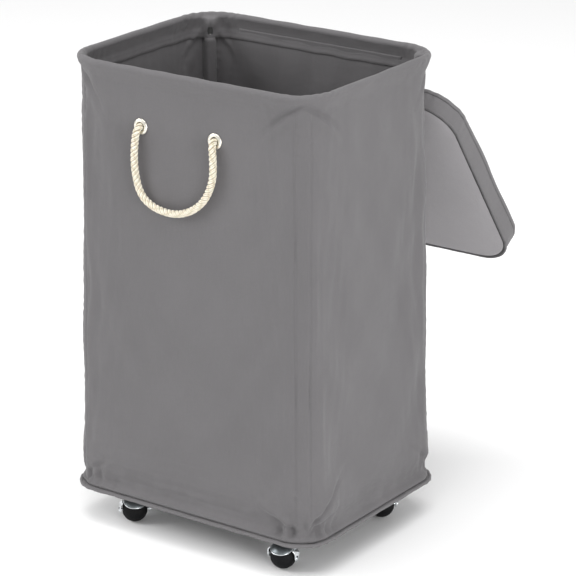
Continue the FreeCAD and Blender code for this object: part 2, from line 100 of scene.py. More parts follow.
# ---- outlines ------------------------------------------------------------------------
def outline(segment, share, size):
    """Points and outward normals of a rounded rectangle, counter-clockwise from the right.

    segment counts flats (even) and corners (odd), and share runs along each from 0 to 1.
    """
    half_x, front, back, radius = size
    x, low, high = half_x - radius, -(front - radius), back - radius
    flats = {
        0: ((half_x, low), (half_x, high), (1, 0)),
        2: ((x, back), (-x, back), (0, 1)),
        4: ((-half_x, high), (-half_x, low), (-1, 0)),
        6: ((-x, -front), (x, -front), (0, -1)),
    }
    centres = {1: (x, high), 3: (-x, high), 5: (-x, low), 7: (x, low)}
    points = np.zeros((len(segment), 2))
    normals = np.zeros((len(segment), 2))
    for k in range(8):
        here = segment == k
        t = share[here][:, None]
        if k in flats:
            start, end, normal = (np.array(v, float) for v in flats[k])
            points[here] = start + (end - start) * t
            normals[here] = normal
        else:
            angle = math.radians(90 * (k // 2)) + t[:, 0] * math.pi / 2
            normals[here] = np.stack([np.cos(angle), np.sin(angle)], 1)
            points[here] = np.array(centres[k]) + radius * normals[here]
    return points, normals


def columns(size, flat_step, corner_step):
    """Segment, share and distance round of the columns of a cloth that goes all round."""
    half_x, front, back, radius = size
    lengths = [front + back - 2 * radius, radius * math.pi / 2, 2 * (half_x - radius)]
    segment, share, around = [], [], []
    start = 0.0
    for k in range(8):
        length = lengths[1] if k % 2 else lengths[0 if k % 4 == 0 else 2]
        if k % 2:
            steps = np.linspace(0, 1, int(length / corner_step) + 1)[:-1]
        else:
            near = min(45.0 / length, 0.3)
            fine = max(int(near * length / corner_step), 2)
            coarse = max(int((1 - 2 * near) * length / flat_step), 2)
            steps = np.concatenate([
                np.linspace(0, near, fine, endpoint=False),
                np.linspace(near, 1 - near, coarse, endpoint=False),
                np.linspace(1 - near, 1, fine, endpoint=False),
            ])
        segment += [k] * len(steps)
        share += list(steps)
        around += list(start + steps * length)
        start += length
    return np.array(segment), np.array(share), np.array(around), start


def smooth(x, low, high):
    t = np.clip((x - low) / (high - low), 0, 1)
    return t * t * (3 - 2 * t)


def bell(x, width):
    return np.exp(-((x / width) ** 2))


def unit(rows):
    return rows / np.linalg.norm(rows, axis=1)[:, None]


def run_along(points):
    """Distance along a line of points to each of them."""
    return np.concatenate([[0], np.cumsum(np.linalg.norm(np.diff(points, axis=0), axis=1))])


class Waves:
    """Smooth noise on a cloth that goes all round, made from a few random waves."""

    def __init__(self, total, wave_around, wave_up, count=14):
        base = total / wave_around
        self.round = np.round(rng.uniform(-1.25, 1.25, count) * base) * 2 * math.pi / total
        self.up = rng.uniform(-1.25, 1.25, count) * 2 * math.pi / wave_up
        self.phase = rng.uniform(0, 2 * math.pi, count)
        self.size = 1.4 / math.sqrt(count)

    def __call__(self, around, up):
        value = 0
        for a, b, c in zip(self.round, self.up, self.phase):
            value = value + np.cos(a * around + b * up + c)
        return value * self.size


# ---- meshes --------------------------------------------------------------------------
def loop_vertices(mesh):
    """The vertex at each corner of each face."""
    corner = np.zeros(len(mesh.loops), int)
    mesh.loops.foreach_get("vertex_index", corner)
    return corner


def set_uv(mesh, places):
    mesh.uv_layers.new(name="cloth").data.foreach_set("uv", (places * MM).ravel())


def add_to_scene(name, data):
    thing = bpy.data.objects.new(name, data)
    bpy.context.scene.collection.objects.link(thing)
    return thing


def mesh_object(name, points, faces, uv=None, smooth_faces=True):
    mesh = bpy.data.meshes.new(name)
    mesh.from_pydata([tuple(p) for p in np.asarray(points) * MM], [], faces)
    if uv is not None:
        set_uv(mesh, np.asarray(uv)[loop_vertices(mesh)])
    mesh.validate()
    if smooth_faces:
        mesh.polygons.foreach_set("use_smooth", [True] * len(mesh.polygons))
    return add_to_scene(name, mesh)


def grid_faces(rows, cols, wrap_cols=True, wrap_rows=False, first=0):
    faces = []
    for r in range(rows if wrap_rows else rows - 1):
        for c in range(cols if wrap_cols else cols - 1):
            a, b = r * cols + c, r * cols + (c + 1) % cols
            up = ((r + 1) % rows) * cols
            faces.append((first + a, first + b, first + up + (c + 1) % cols, first + up + c))
    return faces


def grid_object(name, points, around, up, total, wrap=True, wrap_rows=False):
    """A cloth from rows of points, with its UV map in real distances."""
    rows, cols = points.shape[:2]
    faces = grid_faces(rows, cols, wrap, wrap_rows)
    thing = mesh_object(name, points.reshape(-1, 3), faces)
    u = np.broadcast_to(around, (rows, cols)).reshape(-1)
    v = np.broadcast_to(np.reshape(up, (-1, 1)), (rows, cols)).reshape(-1)
    corner = loop_vertices(thing.data)
    loop_u, loop_v = u[corner], v[corner]
    if wrap:
        first = np.repeat(loop_u.reshape(-1, 4).max(1), 4)
        loop_u[(first - loop_u) > total / 2] += total
    set_uv(thing.data, np.stack([loop_u, loop_v], 1))
    return thing


def thicken(thing, thick, offset=-1.0):
    change = thing.modifiers.new("cloth_thickness", "SOLIDIFY")
    change.thickness = thick * MM
    change.offset = offset
    change.use_even_offset = False
    return thing


def flip(thing):
    thing.data.flip_normals()
    return thing


def dress(thing, body, material, replaces=()):
    thing.data.materials.clear()
    thing.data.materials.append(material)
    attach(thing, body)
    if replaces:
        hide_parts(*replaces)
    return thing


STITCH_PITCH, STITCH_LENGTH, THREAD_R, THREAD_SIDES = 3.4, 2.5, 0.32, 6
THREAD_SUNK = 0.6  # share of the thread's radius that its ends go into the cloth


def stitches(name, path, normals, closed=True):
    """A row of thread dashes laid along a path of points, each partly sunk in the cloth."""
    path, normals = np.asarray(path, float), np.asarray(normals, float)
    if closed:
        path = np.vstack([path, path[:1]])
        normals = np.vstack([normals, normals[:1]])
    run = run_along(path)
    count = int(run[-1] / STITCH_PITCH)
    at = (np.arange(count) + 0.5) * run[-1] / count
    points, faces = [], []
    for middle in at:
        ends = [np.array([np.interp(middle + h, run, path[:, k]) for k in range(3)])
                for h in (-STITCH_LENGTH / 2, STITCH_LENGTH / 2)]
        normal = np.array([np.interp(middle, run, normals[:, k]) for k in range(3)])
        normal /= np.linalg.norm(normal)
        along = ends[1] - ends[0]
        along /= np.linalg.norm(along)
        side = np.cross(along, normal)
        first = len(points)
        points.append(ends[0] - normal * THREAD_R * THREAD_SUNK)
        for share, size in ((0.15, 0.8), (0.5, 1.0), (0.85, 0.8)):
            centre = ends[0] * (1 - share) + ends[1] * share
            for turn in range(THREAD_SIDES):
                angle = turn * math.pi / 3
                around = side * math.cos(angle) + normal * math.sin(angle)
                points.append(centre + THREAD_R * size * around)
        points.append(ends[1] - normal * THREAD_R * THREAD_SUNK)
        last = len(points) - 1
        for turn in range(THREAD_SIDES):
            after = (turn + 1) % THREAD_SIDES
            faces.append((first, first + 1 + after, first + 1 + turn))
            for ring in range(2):
                a = first + 1 + ring * THREAD_SIDES
                b = a + THREAD_SIDES
                faces.append((a + turn, a + after, b + after, b + turn))
            faces.append((last, last - THREAD_SIDES + turn, last - THREAD_SIDES + after))
    return mesh_object(name, points, faces)


# ---- materials -----------------------------------------------------------------------
class Nodes:
    """Short names for building a material's nodes."""

    def __init__(self, name):
        self.material = bpy.data.materials.new(name)
        self.material.use_nodes = True
        self.tree = self.material.node_tree
        self.shader = self.tree.nodes["Principled BSDF"]

    def node(self, kind, **values):
        made = self.tree.nodes.new(kind)
        for key, value in values.items():
            setattr(made, key, value)
        return made

    def link(self, source, target):
        self.tree.links.new(source, target)

    def math(self, operation, a, b=None, clamp=False):
        made = self.node("ShaderNodeMath", operation=operation, use_clamp=clamp)
        for socket, value in zip(made.inputs, (a, b)):
            if value is None:
                continue
            if isinstance(value, (int, float)):
                socket.default_value = value
            else:
                self.link(value, socket)
        return made.outputs[0]

    def weighted(self, first, *others):
        """The sum of values, each given with its weight."""
        total = self.math("MULTIPLY", *first)
        return self.math("ADD", total, self.weighted(*others)) if others else total

    def noise(self, vector, scale, detail=2.0, rough=0.5):
        made = self.node("ShaderNodeTexNoise")
        made.inputs["Scale"].default_value = scale
        made.inputs["Detail"].default_value = detail
        made.inputs["Roughness"].default_value = rough
        self.link(vector, made.inputs["Vector"])
        return made.outputs["Fac"]

    def ramp(self, factor, stops):
        made = self.node("ShaderNodeValToRGB")
        ramp = made.color_ramp
        while len(ramp.elements) < len(stops):
            ramp.elements.new(0.5)
        for element, (place, color) in zip(ramp.elements, stops):
            element.position = place
            element.color = (*color, 1.0)
        self.link(factor, made.inputs["Fac"])
        return made.outputs["Color"]

    def bump(self, height, distance, strength=1.0, before=None):
        made = self.node("ShaderNodeBump")
        made.inputs["Distance"].default_value = distance
        made.inputs["Strength"].default_value = strength
        self.link(height, made.inputs["Height"])
        if before is not None:
            self.link(before, made.inputs["Normal"])
        return made.outputs["Normal"]

    def put(self, **values):
        for name, value in values.items():
            socket = self.shader.inputs[name.replace("_", " ")]
            if isinstance(value, (int, float, tuple)):
                socket.default_value = value
            else:
                self.link(value, socket)


def shade(color, factor):
    return tuple(min(c * factor, 1.0) for c in color)


def cloth_material(name, color, yarn=0.0006, coords="UV", sheen=0.15, crinkle=0.00012):
    """Close plain weave of fine polyester yarn, slightly uneven in tone and surface."""
    n = Nodes(name)
    place = n.node("ShaderNodeTexCoord")
    vector = place.outputs[coords]
    split = n.node("ShaderNodeSeparateXYZ")
    n.link(vector, split.inputs[0])
    phase = [n.math("MULTIPLY", split.outputs[axis], math.pi / yarn) for axis in (0, 1)]
    waves = [n.math("SINE", p) for p in phase]
    over = n.math("MULTIPLY", waves[0], waves[1])
    warp = n.math("ABSOLUTE", waves[0])
    weft = n.math("ABSOLUTE", waves[1])
    pick = n.math("GREATER_THAN", over, 0.0)
    weave = n.math("ADD", n.math("MULTIPLY", warp, pick),
                   n.math("MULTIPLY", weft, n.math("SUBTRACT", 1.0, pick)))
    coords_3d = place.outputs["Object"]
    mottle = n.noise(coords_3d, 9.0, 3.0)
    heather = n.noise(coords_3d, 420.0, 2.0, 0.7)
    slub_map = n.node("ShaderNodeMapping")
    slub_map.inputs["Scale"].default_value = (900.0, 40.0, 900.0)
    n.link(vector, slub_map.inputs["Vector"])
    slub = n.noise(slub_map.outputs[0], 1.0, 2.0, 0.6)
    tone = n.weighted((mottle, 0.34), (heather, 0.36), (slub, 0.3))
    base = n.ramp(tone, [(0.3, shade(color, 0.9)), (0.5, color), (0.7, shade(color, 1.1))])
    rough = n.math("ADD", 0.74, n.math("MULTIPLY", heather, 0.16))
    dents = n.noise(coords_3d, 55.0, 4.0, 0.55)
    first = n.bump(dents, crinkle * 14, 0.45)
    normal = n.bump(weave, yarn * 0.22, 0.6, first)
    n.put(Base_Color=base, Roughness=rough, Normal=normal)
    n.put(Sheen_Weight=sheen, Sheen_Roughness=0.45, Specular_IOR_Level=0.32)
    return n.material


def thread_material(name, color):
    n = Nodes(name)
    place = n.node("ShaderNodeTexCoord").outputs["Object"]
    fuzz = n.noise(place, 2600.0, 2.0)
    base = n.ramp(fuzz, [(0.3, shade(color, 0.8)), (0.7, shade(color, 1.15))])
    n.put(Base_Color=base, Roughness=0.72, Normal=n.bump(fuzz, 0.0002, 0.5))
    return n.material


def rope_material(name):
    """Cream cotton: yarns run along each strand, with soft fibres, and painted shade darkening the
    valleys between strands.
    """
    n = Nodes(name)
    place = n.node("ShaderNodeTexCoord")
    split = n.node("ShaderNodeSeparateXYZ")
    n.link(place.outputs["UV"], split.inputs[0])
    slope = n.weighted((split.outputs[0], 9.0), (split.outputs[1], -190.0))
    yarns = n.math("ABSOLUTE", n.math("SINE", n.math("MULTIPLY", slope, math.pi)))
    round_strand = n.math("MULTIPLY", split.outputs[0], 1.0 / (STRAND_SHARE * ROPE_R * MM))
    crown = n.math("MULTIPLY", n.math("ADD", n.math("COSINE", round_strand), 0.35), 0.75, True)
    fuzz = n.noise(place.outputs["Object"], 1500.0, 3.0, 0.6)
    patch = n.noise(place.outputs["Object"], 110.0, 2.0)
    tone = n.weighted((yarns, 0.45), (fuzz, 0.3), (patch, 0.25))
    base = n.ramp(tone, [(0.15, (0.5, 0.43, 0.3)), (0.45, (0.73, 0.67, 0.54)),
                         (0.8, (0.83, 0.78, 0.66))])
    # painted shade: towards the valleys between strands the colour is mixed to dark brown, standing in
    # for the shade the strands cast on each other
    valley_shade = n.node("ShaderNodeMix", data_type="RGBA")
    n.link(crown, valley_shade.inputs[0])
    valley_shade.inputs[6].default_value = (0.24, 0.18, 0.11, 1.0)
    n.link(base, valley_shade.inputs[7])
    base = valley_shade.outputs[2]
    first = n.bump(yarns, 0.00035, 0.7)
    n.put(Base_Color=base, Roughness=0.9, Normal=n.bump(fuzz, 0.0003, 0.5, first))
    n.put(Sheen_Weight=0.25, Sheen_Roughness=0.5, Subsurface_Weight=0.05)
    return n.material


def metal_material(name, color, rough, scratch=0.05, metallic=1.0, stain=0.92):
    """Plated metal: fine scratches, and a little cloudiness in tone and gloss."""
    n = Nodes(name)
    place = n.node("ShaderNodeTexCoord").outputs["Object"]
    stretch = n.node("ShaderNodeMapping")
    stretch.inputs["Scale"].default_value = (300.0, 2600.0, 900.0)
    n.link(place, stretch.inputs["Vector"])
    lines = n.noise(stretch.outputs[0], 1.0, 3.0, 0.6)
    cloud = n.noise(place, 160.0, 3.0)
    base = n.ramp(cloud, [(0.35, shade(color, stain)), (0.65, color)])
    gloss = n.math("ADD", rough - scratch / 2, n.math("MULTIPLY", lines, scratch * 2), True)
    n.put(Base_Color=base, Roughness=gloss, Normal=n.bump(lines, 0.00003, 0.5))
    n.put(Metallic=metallic)
    return n.material


def plastic_material(name, color, rough, grain=900.0, depth=0.00006, shine=0.5):
    n = Nodes(name)
    place = n.node("ShaderNodeTexCoord").outputs["Object"]
    fine = n.noise(place, grain, 3.0)
    scuff = n.noise(place, 130.0, 4.0, 0.65)
    base = n.ramp(scuff, [(0.35, color), (0.75, shade(color, 1.7))])
    gloss = n.math("ADD", rough - 0.1, n.math("MULTIPLY", scuff, 0.22))
    n.put(Base_Color=base, Roughness=gloss, Normal=n.bump(fine, depth, 0.5), Specular_IOR_Level=shine)
    return n.material


def hardboard_material(name):
    """Pressed brown fibreboard, flecked with chips."""
    n = Nodes(name)
    place = n.node("ShaderNodeTexCoord").outputs["Object"]
    flecks = n.noise(place, 330.0, 5.0, 0.7)
    cloud = n.noise(place, 14.0, 3.0)
    tone = n.weighted((flecks, 0.7), (cloud, 0.3))
    base = n.ramp(tone, [(0.3, (0.13, 0.075, 0.038)), (0.5, (0.27, 0.165, 0.09)),
                         (0.72, (0.4, 0.26, 0.15))])
    n.put(Base_Color=base, Roughness=0.7, Normal=n.bump(flecks, 0.0002, 0.4))
    return n.material


def plain_material(name, color, rough):
    n = Nodes(name)
    n.put(Base_Color=(*color, 1.0), Roughness=rough)
    return n.material


GREY = (0.113, 0.1087, 0.1125)
BODY = cloth_material("grey_cloth", GREY)
LID = cloth_material("lid_cloth", shade(GREY, 1.12))
# painted light: the lid cover is the body's grey made 3.1 times as light, standing in for the light the
# floor throws up onto the open cover
COVER_PAINTED_LIGHT = cloth_material("lid_cover_cloth", shade(GREY, 3.1))
LINING = cloth_material("lining_cloth", shade(GREY, 1.2), yarn=0.0005)
# painted shade: a near-black grey cloth for the lid's hem fold and seam binding, standing in for the
# shadow lines along those seams
BINDING_PAINTED_SHADE = cloth_material("binding_cloth_painted_shade", shade(GREY, 0.42), yarn=0.0005)
PIPING = cloth_material("piping_cloth", shade(GREY, 1.06), yarn=0.0005)
CAD_CLOTH = cloth_material("base_cloth_weave", shade(GREY, 0.9), coords="Object")
THREAD = thread_material("grey_thread", shade(GREY, 1.15))
ROPE = rope_material("cotton_rope")
EYELET = metal_material("eyelet_metal", (0.8, 0.77, 0.69), 0.3)
ZINC = metal_material("bright_zinc", (0.8, 0.83, 0.85), 0.22)
HOOD_STEEL = metal_material("hood_steel", (0.19, 0.21, 0.22), 0.4)
WIRE = metal_material("spring_wire_steel", (0.55, 0.55, 0.56), 0.4)
POLE = metal_material("pole_enamel", (0.72, 0.72, 0.7), 0.38, metallic=0.2)
BLACK = plastic_material("black_wheel", (0.0025, 0.0025, 0.003), 0.62, shine=0.16)
CAP = plastic_material("cap_plastic", (0.03, 0.03, 0.03), 0.5)
HARDBOARD = hardboard_material("hardboard")


def recolor(node, material):
    things = bpy.context.scene.objects
    thing = bpy.data.objects.get(node) or next(o for o in things if o.get("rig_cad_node") == node)
    thing.data.materials.clear()
    thing.data.materials.append(material)


# ---- cloth body ----------------------------------------------------------------------
BODY_SIZE = (205.0, 161.5, 160.0, 49.0)
SETTLE_SHARE = 0.5  # how much of the simulated settling the fine cloth takes on
body_seg, body_share, body_s, BODY_TOTAL = columns(BODY_SIZE, 6.0, 1.7)


def corner_middle(segment, angle=45.0, seg=body_seg, share=body_share, s=body_s):
    """Distance round to a place on a corner, given as an angle from the X direction."""
    place = angle / 90.0 if segment in (1, 5) else 1.0 - angle / 90.0
    here = seg == segment
    return float(np.interp(place, share[here], s[here]))


def wrapped(delta, total):
    return (delta + total / 2) % total - total / 2


def from_sleeve(s, segment):
    """Distance round from the middle of a corner's pole sleeve."""
    return wrapped(s - corner_middle(segment, SLEEVE_ANGLE), BODY_TOTAL)


def wall_size(z):
    t = (z - WALL_LOW_Z) / (WALL_HIGH_Z - WALL_LOW_Z)
    return [a + (b - a) * t for a, b in zip(WALL_LOW, WALL_HIGH)]


BOTTOM_PROFILE = ((55, 57.5, 60, 65, 69, 78, 88, 99, 112, 135, 165),
                  (-0.4, 1.9, 0.6, -4.2, -5.4, -3.4, -0.2, 2.0, 2.3, 0.9, 0.0))
TOP_PROFILE = ((640, 652, 660, 666, 671, 677), (0.0, 0.2, 0.8, 2.2, 4.4, 6.6))
# creases that run down both sides from the top of each pole: corner, side, reach, drop, depth
ARCHES = (
    (7, 1, 60.0, 46.0, 3.4), (7, -1, 54.0, 44.0, 3.9), (5, 1, 46.0, 60.0, 2.2), (5, -1, 36.0, 46.0, 1.9),
    (1, 1, 40.0, 50.0, 2.0), (1, -1, 44.0, 46.0, 1.9), (3, 1, 42.0, 44.0, 1.9), (3, -1, 38.0, 46.0, 1.8),
)
ARCH_TOP = 3.5  # below the top of the wall
# creases that fan up both sides from the foot of each pole: corner, side, reach, rise, depth
FANS = (
    (7, 1, 92.0, 82.0, 3.8), (7, 1, 70.0, 28.0, 2.8), (7, -1, 78.0, 34.0, 2.8), (5, 1, 60.0, 40.0, 1.8),
    (5, -1, 56.0, 30.0, 1.5), (1, 1, 60.0, 44.0, 1.8), (1, -1, 66.0, 52.0, 2.0), (3, 1, 58.0, 36.0, 1.7),
    (3, -1, 54.0, 30.0, 1.6),
)
FAN_FOOT_Z = 64.0


def crease(distance, width):
    """A soft valley with a swell beside it, across the line where distance is nought."""
    return 0.75 * bell(distance - 2.2 * width, 1.7 * width) - bell(distance, width)


slow = Waves(BODY_TOTAL, 190.0, 300.0)
middling = Waves(BODY_TOTAL, 75.0, 130.0)
low_folds = Waves(BODY_TOTAL, 15.0, 55.0, 18)
low_flat_folds = Waves(BODY_TOTAL, 34.0, 120.0)
high_folds = Waves(BODY_TOTAL, 18.0, 60.0, 18)
seam_pucker = Waves(BODY_TOTAL, 30.0, 11.0)


def near_eyelets(points):
    """One at the eyelets and nought away from them, where the cloth is clamped flat."""
    near = np.zeros(points.shape[:-1])
    for x in GROMMET_X:
        away = np.linalg.norm(points - [x, GROMMET_FACE_Y, GROMMET_Z], axis=-1)
        near = np.maximum(near, 1 - smooth(away, 13, 34))
    return near


UPRIGHT_FOLDS = (  # corner, distance from it, depth, width, lowest and highest point
    (1, -26, 1.8, 6, 120, 650), (1, -40, -1.6, 7, 180, 640), (1, -58, 1.5, 9, 260, 655),
    (1, -84, -1.0, 12, 200, 600), (1, 24, 1.2, 8, 120, 640), (5, 21, 1.9, 5, 90, 655),
    (5, 34, -1.4, 7, 140, 650), (5, 56, 1.1, 10, 300, 660), (5, -22, 1.5, 6, 150, 640),
    (5, -40, -1.2, 8, 150, 640), (7, 46, 0.7, 14, 120, 560),
    (3, 26, 1.5, 8, 150, 640), (3, -28, 1.4, 8, 130, 640), (3, -46, -1.1, 9, 160, 620),
)


def body_offset(s, z, is_back):
    """How far the cloth stands out from its straight wall, in millimetres."""
    out = np.interp(z, *BOTTOM_PROFILE) + np.interp(z, *TOP_PROFILE) + 0 * s
    out = out + is_back * 3.0 * smooth(z, 645, 677)
    inner = smooth(z, 90, 170) * (1 - smooth(z, 600, 665))
    out = out + inner * (0.7 * slow(s, z) + 0.5 * middling(s, z))
    near_corner = 0
    for segment in CORNER_SEGMENTS.values():
        ds = wrapped(s - corner_middle(segment), BODY_TOTAL)
        sleeve = from_sleeve(s, segment)
        near_corner = np.maximum(near_corner, 1 - smooth(np.abs(ds), 34, 74))
        # the sleeve stands out a little, between two stitched seams
        starts = smooth(z, SEAM_LOW_Z - 8, SEAM_LOW_Z + 6)
        sewn = starts * (1 - smooth(z, SEAM_HIGH_Z - 22, SEAM_HIGH_Z - 8))
        out = out + sewn * 0.7 * (1 - smooth(np.abs(sleeve), SLEEVE_HALF - 3, SLEEVE_HALF))
        for side in (-1, 1):
            seam = sleeve - side * SLEEVE_HALF
            out = out - sewn * 0.95 * bell(seam, 1.3)
            out = out + sewn * 0.3 * bell(seam, 7.0) * seam_pucker(s, z)
    for segment, side, reach, drop, depth in ARCHES:
        sleeve = side * from_sleeve(s, segment)
        across = np.clip(sleeve, 0, 1.4 * reach) / reach
        level = math.cos(math.atan2(drop - ARCH_TOP, reach))
        below = (WALL_HIGH_Z - z - ARCH_TOP - (drop - ARCH_TOP) * across**1.2) * level
        here = depth * smooth(sleeve, -3, 3) * (1 - smooth(across, 0.35, 1.3))
        out = out + here * crease(below, 4.1)
    for segment, side, reach, rise, depth in FANS:
        sleeve = side * from_sleeve(s, segment)
        across = np.clip(sleeve, 0, 1.4 * reach) / reach
        above = (z - FAN_FOOT_Z - rise * across**0.9) * math.cos(math.atan2(rise, reach))
        here = depth * smooth(sleeve, 0, 12) * (1 - smooth(across, 0.4, 1.2))
        out = out + here * crease(above, 3.6)
    low_shape = (1 - smooth(z, 60, 128)) * smooth(z, 54, 64)
    out = out + near_corner * low_shape * 1.9 * low_folds(s, z)
    out = out + (1 - near_corner) * low_shape * 0.8 * low_flat_folds(s, z)
    high = smooth(z, 640, 668)
    out = out + near_corner * high * (1 - smooth(z, 668, 676)) * 0.3 * high_folds(s, z)
    # long upright folds beside the corners
    for segment, shift, depth, width, low_z, high_z in UPRIGHT_FOLDS:
        sway = 4 * np.sin(z / 61.0 + shift) + 2.5 * np.sin(z / 23.0 + 2 * shift)
        ds = wrapped(s - corner_middle(segment) - shift - sway, BODY_TOTAL)
        swell = 0.75 + 0.25 * np.sin(z / 47.0 + 3 * shift)
        lasting = smooth(z, low_z - 60, low_z + 40) * (1 - smooth(z, high_z - 60, high_z))
        out = out + depth * swell * bell(ds, width) * lasting
    # the poles stand close behind the cloth and hold it out
    for segment in CORNER_SEGMENTS.values():
        sleeve = from_sleeve(s, segment)
        out = np.maximum(out, -1.2 - 8.0 * smooth(np.abs(sleeve), 6, 17))
    return out


SETTLE_FRAMES = 45
SEWN_REACH = 17.0  # the cloth is held this far round on both sides of each corner


def sag_of_body():
    """Lets the empty cloth settle between its sewn edges, on a coarse grid.

    Gives a function of distance round and height that returns how far the cloth moved.
    """
    seg, share, s, total = columns(BODY_SIZE, 12.0, 12.0)
    z = np.linspace(WALL_LOW_Z, WALL_HIGH_Z, 53)
    points = np.zeros((len(z), len(s), 3))
    for row, height in enumerate(z):
        flat, normal = outline(seg, share, wall_size(height))
        out = 0.8 * middling(s, height + 40)
        points[row] = np.column_stack([flat + normal * out[:, None], np.full(len(s), height)])
    cage = grid_object("settling_cloth", points, s, z, total)
    held = cage.vertex_groups.new(name="sewn")
    sewn = np.zeros((len(z), len(s)), bool)
    sewn[[0, -1]] = True
    for segment in CORNER_SEGMENTS.values():
        middle = corner_middle(segment, seg=seg, share=share, s=s)
        sewn |= (np.abs(wrapped(s - middle, total)) < SEWN_REACH)[None, :]
    held.add([int(k) for k in np.flatnonzero(sewn.reshape(-1))], 1.0, "REPLACE")
    change = cage.modifiers.new("cloth", "CLOTH")
    cloth = change.settings
    cloth.quality = 5
    cloth.mass = 0.25
    cloth.tension_stiffness = cloth.compression_stiffness = 12.0
    cloth.shear_stiffness = 8.0
    cloth.bending_stiffness = 0.4
    cloth.air_damping = 2.0
    cloth.vertex_group_mass = "sewn"
    cloth.shrink_min = -0.0035
    change.point_cache.frame_start, change.point_cache.frame_end = 1, SETTLE_FRAMES
    for number in range(1, SETTLE_FRAMES + 1):
        bpy.context.scene.frame_set(number)
    settled = cage.evaluated_get(bpy.context.evaluated_depsgraph_get()).to_mesh()
    places = np.zeros(len(settled.vertices) * 3)
    settled.vertices.foreach_get("co", places)
    moved = places.reshape(points.shape) / MM - points
    bpy.context.scene.frame_set(1)
    bpy.data.objects.remove(cage)
    print("cloth settled by up to", round(float(np.linalg.norm(moved, axis=2).max()), 2), "mm")

    def moved_by(around, up):
        around, up = np.broadcast_arrays(around, up)
        ring = np.concatenate([s, [total]])
        field = np.concatenate([moved, moved[:, :1]], axis=1)
        col = np.clip(np.searchsorted(ring, around, side="right") - 1, 0, len(ring) - 2)
        row = np.clip(np.searchsorted(z, up, side="right") - 1, 0, len(z) - 2)
        tx = smooth(around, ring[col], ring[col + 1])[..., None]
        tz = smooth(up, z[row], z[row + 1])[..., None]
        low = field[row, col] * (1 - tx) + field[row, col + 1] * tx
        high = field[row + 1, col] * (1 - tx) + field[row + 1, col + 1] * tx
        return low * (1 - tz) + high * tz

    return moved_by


HEM_HEIGHTS = (674.0, 669.0, 664.5, 660.0, 656.0, 652.0)
HEM_GAP = 1.9  # from the outside of the wall to the hem inside it


def build_body():
    """One cloth from the base up to the rim, rolled over its wire and hemmed inside."""
    z = np.concatenate([np.arange(55, 130, 1.7), np.arange(130, 590, 6.0),
                        np.arange(590, 676.5, 1.8), [677.0]])
    is_back = np.where(body_seg == 2, 1.0, 0.0)
    is_back = np.where(body_seg == 1, body_share, is_back)
    is_back = np.where(body_seg == 3, 1 - body_share, is_back)
    rows = []
    for height in z:
        flat, normal = outline(body_seg, body_share, wall_size(height))
        out = body_offset(body_s, height, is_back)
        rows.append((np.column_stack([flat, np.full(len(body_s), height)]),
                     np.column_stack([normal * out[:, None], 0 * out])))
    straight, outward = (np.array(part) for part in zip(*rows))
    settle = sag_of_body()(body_s[None, :], z[:, None])
    calm = (1 - near_eyelets(straight))[..., None]
    points = straight + outward * calm + SETTLE_SHARE * settle * calm
    # over the rim wire, and down inside as a hem
    angles = np.radians(np.arange(-30, 216, 12))
    flat, normal = outline(body_seg, body_share, RIM_HALF)
    corner = near_corners(body_s, body_seg, body_share, BODY_TOTAL)
    pucker = Waves(BODY_TOTAL, 13.0, 60.0, 18)
    soft = Waves(BODY_TOTAL, 60.0, 60.0)
    cover = cover_pole(body_s)
    rim = []
    for index, angle in enumerate(angles):
        out, up = math.cos(angle), math.sin(angle)
        rise = 0.3 * (0.1 + 0.9 * corner) * pucker(body_s, index * 4.0)
        rise = np.minimum(rise + 0.3 * soft(body_s, index * 3.0), 0.3)
        tucked = cover * smooth(math.degrees(angle), 150, 214) * 0.8
        push = (RIM_R + rise) * out - tucked
        rim.append(np.column_stack([flat + normal * push[:, None], RIM_Z + (RIM_R + rise) * up]))
    for index, height in enumerate(HEM_HEIGHTS):
        wall = np.array([[np.interp(height, z, points[:, c, k]) for k in range(2)]
                         for c in range(len(body_s))])
        lies = smooth(index, -0.5, 2.5)
        swell = (0.1 + 0.4 * corner) * pucker(body_s, 90.0 + index * 5.0) * (1 - 0.6 * lies)
        under_tube = flat - normal * 4.6
        row = under_tube * (1 - lies) + (wall - normal * HEM_GAP) * lies
        row = row + normal * (swell - cover)[:, None]
        rim.append(np.column_stack([row, height + 0.4 * soft(body_s, 50.0)]))
    rim = np.array(rim)
    points = np.concatenate([points, rim])
    middle = points[:, len(body_s) // 2]
    up = run_along(middle)
    cloth = grid_object("cloth_body", points, body_s, up, BODY_TOTAL)
    thicken(cloth, CLOTH)
    walls = [f"{side}_wall" for side in ("front", "back", "left", "right")]
    walls += [f"corner_panel_{name}" for name in CORNER_SEGMENTS] + ["rim_hem"]
    dress(cloth, "hamper_body", BODY, walls)
    inward = np.column_stack([-normal, np.zeros(len(body_s))])
    for row, label in ((-1, "lower"), (-3, "upper")):
        path = rim[row] + [0, 0, 1.5] + inward * 0.1
        thread = stitches(f"rim_stitches_{label}", path, inward)
        dress(thread, "hamper_body", THREAD)
    return points[:len(z)], z


def cover_pole(s):
    """How far the hem stands in at each corner, over the top of the pole."""
    cover = 0
    for segment in CORNER_SEGMENTS.values():
        sleeve = from_sleeve(s, segment)
        cover = cover + 10.0 * np.exp(-((sleeve / 10.5) ** 4)) + 2.6 * bell(sleeve, 24.0)
    return cover


# ---- rim and welt --------------------------------------------------------------------
RING_STEPS = (5.0, 2.0)  # between columns, on the flats and round the corners


def swept(name, size, z, profile, ripple, closed=False):
    """Sweeps a side view round a rounded rectangle. profile holds (outward, up) pairs.

    Gives the cloth and its rows of points. closed joins the last row to the first.
    """
    seg, share, s, total = columns(size, *RING_STEPS)
    flat, normal = outline(seg, share, size)
    rows = []
    for index, (out, up) in enumerate(profile):
        shift_out, shift_up = ripple(s, index)
        row = np.zeros((len(s), 3))
        row[:, :2] = flat + normal * (out + shift_out)[:, None]
        row[:, 2] = z + up + shift_up
        rows.append(row)
    points = np.array(rows)
    steps = [math.dist(a, b) for a, b in zip(profile, profile[1:])]
    run = np.concatenate([[0], np.cumsum(steps)])
    return grid_object(name, points, s, run, total, wrap_rows=closed), points


